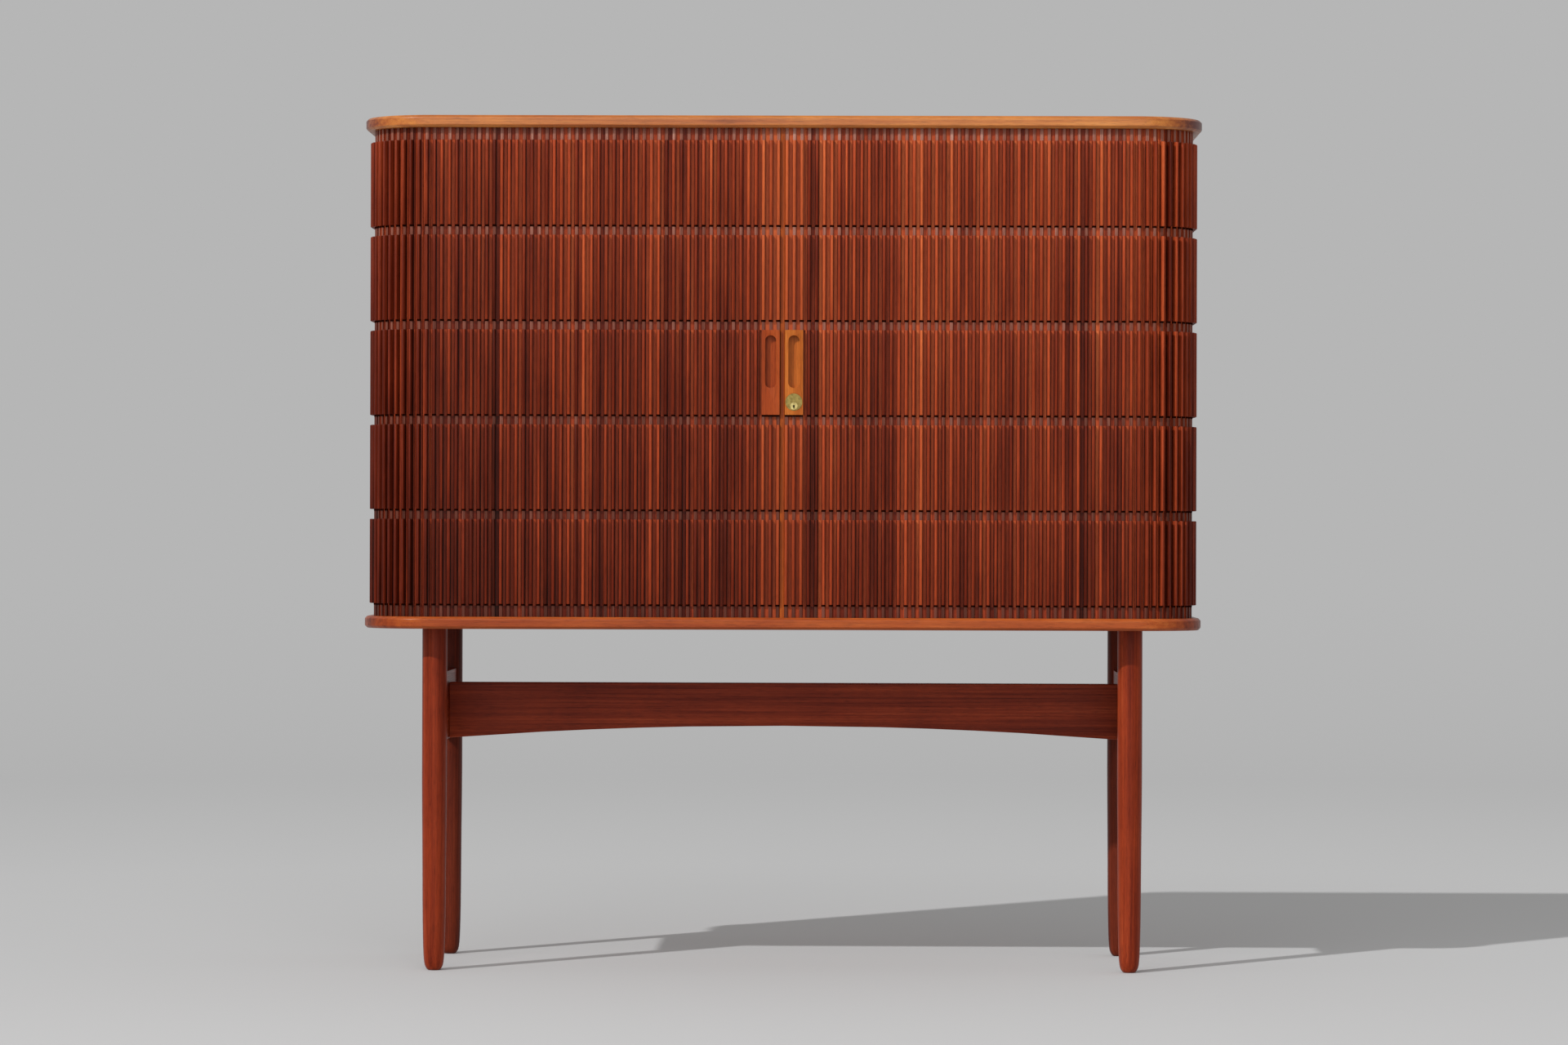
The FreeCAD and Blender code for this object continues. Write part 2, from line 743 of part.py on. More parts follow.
def lead_stile(name, seam_edge):
    """A closing stile with its tongues, its fins and the seat for the pull block."""
    body = doc.addObject("PartDesign::Body", name)
    across = (seam_edge, "stile_reach - slat_gap / 2")
    bar = rectangle(body, f"{name}_bar_outline", "XY_Plane", across, ("stile_back_y", "face_y"))
    pad(body, f"{name}_bar", bar, "opening_height - 2 * stile_headroom", "tongue_length + stile_headroom")
    tongue = rectangle(body, f"{name}_tongue_outline", "XY_Plane", across, ("slat_back_y", "face_y"))
    pad(body, f"{name}_tongue", tongue, "slat_length")
    middle = "stile_reach - (stile_fin_count - 0.5) * front_pitch"
    fin = rectangle(body, f"{name}_fin_outline", "XY_Plane", spread(middle, "fin_width"), ("face_y", "tip_y"))
    row = pad(body, f"{name}_fin", fin, "fin_row_height", "fin_base - slat_base")
    fins = body.newObject("PartDesign::MultiTransform", f"{name}_fins")
    upward = body.newObject("PartDesign::LinearPattern", f"{name}_fin_rows")
    upward.Direction = (origin_part(body, "Z_Axis"), [""])
    bind(upward, Length="fin_row_pitch * (fin_row_count - 1)", Occurrences="fin_row_count")
    along = body.newObject("PartDesign::LinearPattern", f"{name}_fin_line")
    along.Direction = (origin_part(body, "X_Axis"), [""])
    bind(along, Length="front_pitch * (stile_fin_count - 1)", Occurrences="stile_fin_count")
    fins.Originals = [row]
    fins.Transformations = [upward, along]
    body.Tip = fins
    at(body, z="slat_base")
    seat = box(
        f"{name}_seat",
        ("block_inner - block_fit", "block_outer + block_fit"),
        ("tip_y - overrun", "block_seat_y"),
        ("block_base - block_fit", "block_base + fin_row_height + block_fit"),
    )
    return cut(f"{name}_seated", body, seat)


def pull_block(name):
    """A block in place of the middle row's fins, with a round-ended recess for the fingers."""
    blank = box(
        f"{name}_blank",
        ("block_inner", "block_outer"),
        ("tip_y", "block_seat_y"),
        ("block_base", "block_base + fin_row_height"),
    )
    depth = ("tip_y - overrun", "tip_y + recess_depth")
    radius = "recess_width / 2"
    top = f"recess_top - {radius}"
    base = f"recess_top - recess_length + {radius}"
    upper_end = rod(f"{name}_recess_top", "lock_x", depth, top, radius)
    lower_end = rod(f"{name}_recess_base", "lock_x", depth, base, radius)
    middle = box(f"{name}_recess_middle", spread("lock_x", "recess_width"), depth, (base, top))
    return cut(f"{name}_body", blank, fuse(f"{name}_recess", middle, upper_end, lower_end))


def doors():
    """The lead stile and pull block of each curtain. Only the right-hand pair is bored for the lock."""
    bore_depth = ("tip_y - overrun", "stile_back_y + overrun")
    radius = "lock_radius + lock_fit"
    stile_bore = rod("stile_lock_bore", "lock_x", bore_depth, "lock_z", radius)
    block_bore = rod("block_lock_bore", "lock_x", bore_depth, "lock_z", radius)
    right_stile = lead_stile("right_stile", "seam_gap / 2 - seam_offset")
    left_stile = lead_stile("left_stile", "seam_gap / 2 + seam_offset")
    keep(cut("right_stile_bored", right_stile, stile_bore), "right_lead_stile")
    keep(mirror("left_stile_turned", left_stile, X_AXIS), "left_lead_stile")
    keep(cut("right_block_bored", pull_block("right_block"), block_bore), "right_pull_block")
    keep(mirror("left_block_turned", pull_block("left_block"), X_AXIS), "left_pull_block")


def lock():
    """A round case with a flange behind the stile, its plug, and the hook that the plug turns."""
    case_y = ("tip_y - lock_stand_out", "stile_back_y")
    case = rod("case_bar", "lock_x", case_y, "lock_z", "lock_radius")
    flange_y = ("stile_back_y", "stile_back_y + flange_thickness")
    flange = box("case_flange", spread("lock_x", "flange_width"), flange_y, spread("plug_z", "flange_length"))
    bore_y = (f"{case_y[0]} - overrun", "stile_back_y + overrun")
    bore = rod("case_bore", "lock_x", bore_y, "plug_z", "plug_radius + plug_clearance")
    keep(cut("case", fuse("case_body", case, flange), bore), "lock_case")
    plug_front = "tip_y - lock_stand_out - plug_stand_out"
    barrel_y = (plug_front, "stile_back_y + flange_thickness")
    barrel = rod("plug_barrel", "lock_x", barrel_y, "plug_z", "plug_radius")
    shank_end = "hook_y + hook_thickness"
    shank_x = spread("lock_x", "shank_width")
    shank = box("plug_shank", shank_x, (barrel_y[1], shank_end), spread("plug_z", "shank_width"))
    keyway_y = (f"{plug_front} - overrun", f"{plug_front} + keyway_depth")
    eye = rod("keyway_eye", "lock_x", keyway_y, "plug_z", "keyway_radius")
    slot = box("keyway_slot", spread("lock_x", "keyway_width"), keyway_y, ("plug_z - keyway_drop", "plug_z"))
    keep(cut("plug", fuse("plug_body", barrel, shank), fuse("keyway", eye, slot)), "lock_plug")
    keep(lock_hook(), "lock_hook")
    screw = doc.addObject("Part::Prism", "hook_screw_head")
    bind(screw, Circumradius="screw_radius", Height="screw_thickness")
    screw.Placement = FreeCAD.Placement(Vector(), FreeCAD.Rotation(X_AXIS, -90))
    keep(at(screw, "lock_x", shank_end, "plug_z"), "lock_screw")


def hook_slice(name, radius, start, end):
    """A slice of the hook's plate about the plug. Its angles run from +X downwards."""
    piece = doc.addObject("Part::Cylinder", name)
    bind(piece, Radius=radius, Height="hook_thickness")
    piece.Angle = end - start
    rotation = FreeCAD.Rotation(X_AXIS, -90).multiply(FreeCAD.Rotation(Z_AXIS, start))
    piece.Placement = FreeCAD.Placement(Vector(), rotation)
    return at(piece, "lock_x", "hook_y", "plug_z")


def lock_hook():
    """The hook hangs straight down when open. Its slot is a curve about the plug, open at the leading end."""
    down = 90
    slot_end = down - sizes.hook_slot_angle
    tail = slot_end - sizes.hook_tail_angle
    tip = down + sizes.hook_tip_angle
    finger = cut(
        "hook_finger",
        hook_slice("hook_rim", "hook_outer", tail, tip),
        hook_slice("hook_rim_inside", "hook_inner", 0, 360),
    )
    thickness = ("hook_y", "hook_y + hook_thickness")
    arm = box(
        "hook_arm",
        spread("lock_x", "hook_arm_width"),
        thickness,
        ("plug_z - hook_inner - hook_wall / 2", "plug_z + hook_arm_rise"),
    )
    slot = cut(
        "hook_slot",
        hook_slice("hook_slot_outside", "hook_reach + hook_slot_half", slot_end, down + tip),
        hook_slice("hook_slot_inside", "hook_reach - hook_slot_half", 0, 360),
    )
    shank = "shank_width + 2 * plug_clearance"
    hole = box("hook_hole", spread("lock_x", shank), thickness, spread("plug_z", shank))
    return cut("hook", fuse("hook_plate", finger, arm), slot, hole)


def strike():
    """The plate and stud on the left stile that the hook closes over."""
    plate_y = ("stile_back_y", "stile_back_y + flange_thickness")
    plate_x = spread("-strike_offset", "strike_width")
    plate = box("strike_plate", plate_x, plate_y, spread("plug_z", "strike_length"))
    stud_y = ("stile_back_y", "hook_y + hook_thickness")
    stud = rod("strike_stud", "-strike_offset", stud_y, "plug_z", "strike_radius")
    keep(fuse("strike", plate, stud), "left_strike")


def humidifier():
    """A slotted case, open below, over a water cartridge, on the floor at the rear."""
    middle = "-(divider_half + carcass_inner_x) / 2"
    across = spread(middle, "humidifier_width")
    depth = ("carcass_back_y - shelf_clearance - humidifier_depth", "carcass_back_y - shelf_clearance")
    floor = "opening_base + lining_thickness"
    top = f"{floor} + humidifier_height"
    shell = box("humidifier_shell", across, depth, (floor, top))
    inside_x = spread(middle, "humidifier_width - 2 * humidifier_wall")
    inside_y = (f"{depth[0]} + humidifier_wall", f"{depth[1]} - humidifier_wall")
    cavity = box("humidifier_cavity", inside_x, inside_y, (f"{floor} - overrun", f"{top} - humidifier_wall"))
    slots = []
    first_slot = f"{across[0]} + humidifier_slot_margin"
    slot_run = "humidifier_width - 2 * humidifier_slot_margin - humidifier_slot_width"
    slot_y = (f"{depth[0]} + humidifier_slot_margin", f"{depth[1]} - humidifier_slot_margin")
    slot_z = (f"{top} - 2 * humidifier_wall", f"{top} + overrun")
    for number in range(round(sizes.humidifier_slot_count)):
        start = f"{first_slot} + {number} * ({slot_run}) / (humidifier_slot_count - 1)"
        slot_x = (start, f"{start} + humidifier_slot_width")
        slots.append(box(f"humidifier_slot_{number}", slot_x, slot_y, slot_z))
    keep(cut("humidifier", shell, cavity, *slots), "humidifier_case")
    cartridge_x = spread(middle, "humidifier_width - 2 * humidifier_wall - 2 * back_clearance")
    cartridge_y = (f"{inside_y[0]} + back_clearance", f"{inside_y[1]} - back_clearance")
    cartridge_top = f"{top} - humidifier_wall - back_clearance"
    keep(box("cartridge", cartridge_x, cartridge_y, (floor, cartridge_top)), "humidifier_cartridge")


def hygrometer():
    """A flat case with its display pane set in the rim, on the carcass back."""
    middle = "(divider_half + carcass_inner_x) / 2"
    top = "opening_top - lining_thickness - hygrometer_drop"
    front = "carcass_back_y - hygrometer_depth"
    across = spread(middle, "hygrometer_width")
    case = box("hygrometer_body", across, (front, "carcass_back_y"), (f"{top} - hygrometer_height", top))
    seat_z = (f"{top} - hygrometer_height + hygrometer_rim", f"{top} - hygrometer_rim")
    seat_x = (f"{across[0]} + hygrometer_rim", f"{across[1]} - hygrometer_rim")
    seat = box("hygrometer_seat", seat_x, (f"{front} - overrun", f"{front} + hygrometer_recess"), seat_z)
    keep(cut("hygrometer", case, seat), "hygrometer_case")
    pane_x = (f"{seat_x[0]} + display_clearance", f"{seat_x[1]} - display_clearance")
    pane_y = (f"{front} + hygrometer_recess - display_thickness", f"{front} + hygrometer_recess")
    pane_z = (f"{seat_z[0]} + display_clearance", f"{seat_z[1]} - display_clearance")
    keep(box("display_pane", pane_x, pane_y, pane_z), "hygrometer_display")


def check_and_write():
    """Stop if anything failed to build, then write one file for each sub-part."""
    doc.recompute()
    for item in doc.Objects:
        if "Invalid" in item.State or "Error" in item.State:
            raise RuntimeError(f"{item.Name} ({item.Label}) failed: {item.State}")
    for item in nodes:
        if item.Shape.isNull() or not item.Shape.isValid() or not item.Shape.Solids:
            raise RuntimeError(f"{item.Label} has no valid solid")
    for item in nodes:
        item.Shape.exportStep(f"parts/{item.Label}.step")
    print(f"{len(nodes)} nodes, {sum(len(item.Shape.Solids) for item in nodes)} solids")


slabs()
legs()
side_rails()
stretcher()
carcass()
shelves()
outer_back()
curtain()
canvas()
doors()
lock()
strike()
humidifier()
hygrometer()
check_and_write()
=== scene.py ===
"""Humidor cabinet with milled tambour doors: slats, materials, camera and light around the CAD frame."""
import json
import math
import random

import bmesh
import bpy
from mathutils import Matrix, Vector

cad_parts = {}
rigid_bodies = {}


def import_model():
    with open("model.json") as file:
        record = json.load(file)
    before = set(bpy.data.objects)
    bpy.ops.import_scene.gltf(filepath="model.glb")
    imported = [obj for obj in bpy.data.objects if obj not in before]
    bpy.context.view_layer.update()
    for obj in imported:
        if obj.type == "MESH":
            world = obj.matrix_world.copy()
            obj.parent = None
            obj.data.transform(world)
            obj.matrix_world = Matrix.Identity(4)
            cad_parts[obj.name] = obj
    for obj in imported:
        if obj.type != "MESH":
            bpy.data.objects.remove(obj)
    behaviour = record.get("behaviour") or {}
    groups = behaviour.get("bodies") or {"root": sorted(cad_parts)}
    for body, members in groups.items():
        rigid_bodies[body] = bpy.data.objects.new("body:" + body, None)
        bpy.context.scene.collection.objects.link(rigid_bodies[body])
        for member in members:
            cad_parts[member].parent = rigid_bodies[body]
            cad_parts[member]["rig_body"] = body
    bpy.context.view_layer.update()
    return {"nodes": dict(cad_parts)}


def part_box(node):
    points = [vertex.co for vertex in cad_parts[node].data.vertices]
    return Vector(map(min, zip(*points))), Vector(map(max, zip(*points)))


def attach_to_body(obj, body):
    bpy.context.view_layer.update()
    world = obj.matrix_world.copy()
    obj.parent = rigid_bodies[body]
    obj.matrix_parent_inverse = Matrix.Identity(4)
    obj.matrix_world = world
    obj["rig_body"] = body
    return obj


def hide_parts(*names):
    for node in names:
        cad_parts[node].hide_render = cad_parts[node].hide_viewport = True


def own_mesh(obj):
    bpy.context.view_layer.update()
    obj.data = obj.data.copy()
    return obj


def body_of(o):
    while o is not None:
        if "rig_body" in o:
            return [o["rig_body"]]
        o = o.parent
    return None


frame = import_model()
nodes = frame["nodes"]
random.seed(11)
MM = 0.001
SIDES = {"left": -1, "right": 1}
SHELF_NUMBERS = (1, 2, 3)

# Sizes of one slat: its blade, its fins and the low rib between them
SLAT_GAP = 0.2 * MM
BLADE_THICKNESS = 3.6 * MM
BLADE_ROUNDING = 0.5 * MM
FIN_WIDTH = 4.4 * MM
FIN_DEPTH = 8 * MM
NOSE_ROUNDING = 2 * MM
END_ROUNDING = 0.9 * MM
RIB_DEPTH = 1.9 * MM
RIB_ROUNDING = 0.4 * MM
SHARP = 0.05 * MM

# The painted shadow under a fin, and the film of painted shade beside it on the blade
PAINTED_SHADOW_DEPTH = 2.2 * MM
PAINTED_SHADOW_HEIGHT = 2.4 * MM
PAINTED_SIDE_SHADE_WIDTH = 0.9 * MM
PAINTED_FILM_DEPTH = 0.1 * MM

# Shades run from 0, dark, to 1, light: the plain one, and how far parts of a slat and the stiles differ
PLAIN_SHARE = 0.5
# The blades are painted lighter than the fins, as fill light in the fins' shade
PAINTED_BLADE_LIGHT_SHARE = 0.13
# Painted shade on the films beside the fins
PAINTED_SIDE_SHADE_SHARE = -0.22
# Painted shade on the ground of the notches
PAINTED_NOTCH_SHADE_SHARE = -0.03
STILE_SHARE = 0.1

# The slats' mean shade, its scatter and its drift per metre along X, and the odd dark and light ones
MEAN_SHARE = 0.37
SCATTER_SHARE = 0.05
RISE_SHARE = 0.2
FALL_SHARE = 0.26
# Painted shade on the slats at the left end, where the key light falls full on them
PAINTED_END_SHADE_SHARE = 0.3
LIGHTEST_X = 250 * MM
PAINTED_END_SHADE_X = -480 * MM
ODD_SHARES = (0, 0, 0, 0, 0, 0, -0.12, 0.08)
LIMIT_SHARES = (0.1, 0.95)

# Rows of fins, measured from the slabs
ROW_COUNT = 5
MIDDLE_ROW = 2
ROW_TOP_GAP = 17 * MM
ROW_BOTTOM_GAP = 18 * MM
ROW_NOTCH = 14 * MM

# Counts of slats, and the lead stiles
FRONT_COUNT = 44
CORNER_COUNT = 12
SIDE_COUNT = 24
STILE_FIN_COUNT = 3
STILE_HEADROOM = 0.5 * MM
SEAM_INSET = 0.1 * MM
SEAM_CLEARANCE = 0.2 * MM

# Steps of the arcs
ARC_STEPS = 3
END_STEPS = 2
LATHE_STEPS = 48
CLOTH_STEPS = 24

# Angles, in degrees, and distance for cleaning and easing meshes
SMOOTH_ANGLE = 40
FLAT_ANGLE = 1
EASING_ANGLE = 35
EASING_STEPS = 3
WELD_DISTANCE = 0.001 * MM

# How far apart the slats' places in the grain may lie, in metres
GRAIN_REACH = 5

# Places of the wood, the milled wood and the dark wood of painted shadows among a piece's materials
WOOD, MILLED, DARK = 0, 1, 2

# Places read from the frame
front_low, front_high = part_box("right_front_slats")
side_low, side_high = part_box("right_side_slats")
opening_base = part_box("bottom_slab")[1].z
opening_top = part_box("top_slab")[0].z
slat_base, slat_top = front_low.z, front_high.z
face_y = front_low.y + FIN_DEPTH
slat_back_y = face_y + BLADE_THICKNESS
front_pitch = (front_high.x - front_low.x + SLAT_GAP) / FRONT_COUNT
side_pitch = (side_high.y - side_low.y + SLAT_GAP) / SIDE_COUNT
corner_y = SIDE_COUNT * side_pitch / 2
slat_radius = -corner_y - slat_back_y
corner_x = side_high.x - slat_radius - BLADE_THICKNESS - FIN_DEPTH
stile_reach = corner_x - FRONT_COUNT * front_pitch
corner_step = 90 / CORNER_COUNT
corner_pitch = math.radians(corner_step) * slat_radius
rows_height = opening_top - opening_base - ROW_TOP_GAP - ROW_BOTTOM_GAP
row_height = (rows_height - (ROW_COUNT - 1) * ROW_NOTCH) / ROW_COUNT
row_pitch = row_height + ROW_NOTCH
first_row = opening_base + ROW_BOTTOM_GAP


# Meshes

def arc(centre_x, centre_y, radius, start, end, steps=ARC_STEPS):
    """Points on an arc, in degrees from +X towards +Y."""
    points = []
    for i in range(steps + 1):
        angle = math.radians(start + (end - start) * i / steps)
        points.append((centre_x + radius * math.cos(angle), centre_y + radius * math.sin(angle)))
    return points


def front_profile(left, right, back, tip, rounding):
    """A block's outline seen from above: square at the back and rounded at its tip, towards -Y."""
    outline = [(right, back)]
    outline += arc(right - rounding, tip + rounding, rounding, 0, -90)
    outline += arc(left + rounding, tip + rounding, rounding, -90, -180)
    outline.append((left, back))
    return outline


def ring_faces(first, count, levels):
    """The faces between rings of points that follow each other."""
    faces = []
    for level in range(levels):
        for i in range(count):
            a = first + level * count + i
            b = first + level * count + (i + 1) % count
            faces.append((a, b, b + count, a + count))
    return faces


def new_mesh(name, points, faces):
    mesh = bpy.data.meshes.new(name)
    mesh.from_pydata(points, [], faces)
    return mesh


def add_piece(name, mesh, materials, flat_faces=()):
    """An object on show, with its normals outwards and its shallow edges smooth."""
    shell = bmesh.new()
    shell.from_mesh(mesh)
    bmesh.ops.recalc_face_normals(shell, faces=shell.faces)
    shell.to_mesh(mesh)
    shell.free()
    for material in materials:
        mesh.materials.append(material)
    for face in mesh.polygons:
        face.use_smooth = True
    for number in flat_faces:
        mesh.polygons[number].use_smooth = False
    mesh.set_sharp_from_angle(angle=math.radians(SMOOTH_ANGLE))
    piece = bpy.data.objects.new(name, mesh)
    bpy.context.scene.collection.objects.link(piece)
    return piece


class Timber:
    """A mesh made of upright blocks, each with a shade and its own place in the grain."""

    def __init__(self):
        self.points = []
        self.faces = []
        self.flat_faces = []
        self.materials = []
        self.shades = []
        self.grains = []
        self.start(PLAIN_SHARE)

    def start(self, shade, centre=(0, 0), turn=0):
        """Begin a slat that is turned about an upright axis, somewhere in the grain."""
        self.shade = shade
        self.centre = centre
        self.turn = math.radians(turn)
        self.offset = [random.uniform(0, GRAIN_REACH) for _ in "xyz"]

    def add_point(self, x, y, z):
        cos, sin = math.cos(self.turn), math.sin(self.turn)
        self.points.append((self.centre[0] + x * cos - y * sin, self.centre[1] + x * sin + y * cos, z))
        self.shades.append(self.shade)
        self.grains += [start + along for start, along in zip(self.offset, (x, y, z))]

    def stack(self, rings, front_material=WOOD):
        """A closed block through rings of points with the same count."""
        first = len(self.points)
        count = len(rings[0])
        levels = len(rings) - 1
        for ring in rings:
            for point in ring:
                self.add_point(*point)
        last = first + levels * count
        self.faces += ring_faces(first, count, levels)
        self.faces.append(tuple(range(first, first + count)))
        self.faces.append(tuple(range(last, last + count)))
        self.materials += [front_material if 0 < i < count - 2 else WOOD for i in range(count)] * levels
        self.materials += [WOOD, WOOD]

    def block(self, x, y, z, rounding, front_material=WOOD, shade_share=0):
        """A flat-sided block between two ends along X and Z, and from its back to its tip along Y."""
        first = len(self.faces)
        ring = front_profile(*x, *y, rounding)
        self.shade += shade_share
        self.stack([[(*point, level) for point in ring] for level in z], front_material)
        self.shade -= shade_share
        self.flat_faces += range(first, len(self.faces))

    def paint_shadow(self, middle, half, face, top):
        """A dark block of painted shadow under a fin or a pull block."""
        first = len(self.faces)
        across = (middle - half, middle + half)
        self.block(across, (face, face - PAINTED_SHADOW_DEPTH), (top - PAINTED_SHADOW_HEIGHT, top), SHARP)
        self.materials[first:] = [DARK] * (len(self.faces) - first)

    def fin(self, middle, face, low, high):
        """One fin of one row, with a rounded nose and rounded ends."""
        half = FIN_WIDTH / 2
        rings = []
        for end, outward in ((low, -1), (high, 1)):
            levels = []
            for inset, rise in arc(0, 0, END_ROUNDING, 0, 90, END_STEPS):
                z = end + outward * (rise - END_ROUNDING)
                tip = face - FIN_DEPTH + END_ROUNDING - inset
                ring = front_profile(middle - half, middle + half, face, tip, NOSE_ROUNDING)
                levels.append([(*point, z) for point in ring])
            rings += levels[::outward]
        self.stack(rings)

    def rib(self, middle, face, low=opening_base, high=opening_top):
        """The low rib that the milling leaves between the rows."""
        across = (middle - FIN_WIDTH / 2, middle + FIN_WIDTH / 2)
        self.block(across, (face, face - RIB_DEPTH), (low, high), RIB_ROUNDING, MILLED)

    def rows(self, middle, face, left_out=None):
        """The fins of one slat, each with its painted shadow below and a film of painted shade beside it.
        """
        half = FIN_WIDTH / 2 + PAINTED_SIDE_SHADE_WIDTH
        across = (middle - half, middle + half)
        for row in range(ROW_COUNT):
            if row != left_out:
                low = first_row + row * row_pitch
                high = low + row_height
                self.fin(middle, face, low, high)
                # Painted shadow under the fin
                self.paint_shadow(middle, half, face, low)
                # A film of painted shade beside the fin
                film = (face, face - PAINTED_FILM_DEPTH)
                self.block(across, film, (low, high), SHARP, shade_share=PAINTED_SIDE_SHADE_SHARE)

    def notch_films(self, across, face):
        """Films of painted shade on the ground of the notches between the rows, and of the bands above and
        below them.
        """
        for row in range(ROW_COUNT + 1):
            base = first_row + row * row_pitch - ROW_NOTCH if row else opening_base
            top = first_row + row * row_pitch - PAINTED_SHADOW_HEIGHT if row < ROW_COUNT else opening_top
            film = (face, face - PAINTED_FILM_DEPTH)
            self.block(across, film, (base, top), SHARP, shade_share=PAINTED_NOTCH_SHADE_SHARE)

    def finish(self, name, materials):
        mesh = new_mesh(name, self.points, self.faces)
        mesh.polygons.foreach_set("material_index", self.materials)
        shade = mesh.attributes.new("shade", "FLOAT", "POINT")
        shade.data.foreach_set("value", self.shades)
        grain = mesh.attributes.new("grain", "FLOAT_VECTOR", "POINT")
        grain.data.foreach_set("vector", self.grains)
        return add_piece(name, mesh, materials, self.flat_faces)


def lathe(name, profile, centre, material):
    """A turned piece about an upright axis, from pairs of radius and height."""
    points = []
    for radius, z in profile:
        points += [(x, y, z) for x, y in arc(*centre, radius, 0, 360, LATHE_STEPS)[:-1]]
    faces = ring_faces(0, LATHE_STEPS, len(profile) - 1)
    faces.append(tuple(range(LATHE_STEPS)))
    faces.append(tuple(range(len(points) - LATHE_STEPS, len(points))))
    return add_piece(name, new_mesh(name, points, faces), [material])


def softened(node_name, rounding, material):
    """A copy of a CAD piece with its sharp edges rounded over."""
    source = nodes[node_name]
    mesh = source.data.copy()
    mesh.materials.clear()
    shell = bmesh.new()
    shell.from_mesh(mesh)
    bmesh.ops.remove_doubles(shell, verts=shell.verts, dist=WELD_DISTANCE)
    flat_angle = math.radians(FLAT_ANGLE)
    bmesh.ops.dissolve_limit(shell, angle_limit=flat_angle, verts=shell.verts, edges=shell.edges)
    shell.to_mesh(mesh)
    shell.free()
    piece = add_piece(f"{node_name}_eased", mesh, [material])
    piece.matrix_world = source.matrix_world.copy()
    bevel = piece.modifiers.new("easing", "BEVEL")
    bevel.width = rounding
    bevel.segments = EASING_STEPS
    bevel.limit_method = "ANGLE"
    bevel.angle_limit = math.radians(EASING_ANGLE)
    bevel.harden_normals = True
    return piece


def attach(piece, body):
    """Let a piece ride on its body."""
    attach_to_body(piece, body)


def show(piece, body, node_name):
    """Let a piece ride on its body and stand for a CAD node."""
    attach(piece, body)
    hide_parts(node_name)


# Materials

# The curve between light and what the eye sees: a straight foot and a power above it
FOOT_SHARE = 0.04045
FOOT_SLOPE = 12.92
OFFSET_SHARE = 0.055
CURVE_POWER = 2.4


def linear(red, green, blue):
    """A colour given as the eye sees it, from 0 to 255, as linear light."""
    light = []
    for value in (red, green, blue):
        share = value / 255
        if share <= FOOT_SHARE:
            light.append(share / FOOT_SLOPE)
        else:
            light.append(((share + OFFSET_SHARE) / (1 + OFFSET_SHARE)) ** CURVE_POWER)
    return (*light, 1)


def even_marks(*colours):
    """Evenly spread marks of a colour ramp."""
    return [(i / (len(colours) - 1), linear(*colour)) for i, colour in enumerate(colours)]


def along(axis, lengthwise, crosswise):
    """A scale with one figure along the grain and another across it."""
    return tuple(lengthwise if name == axis else crosswise for name in "xyz")


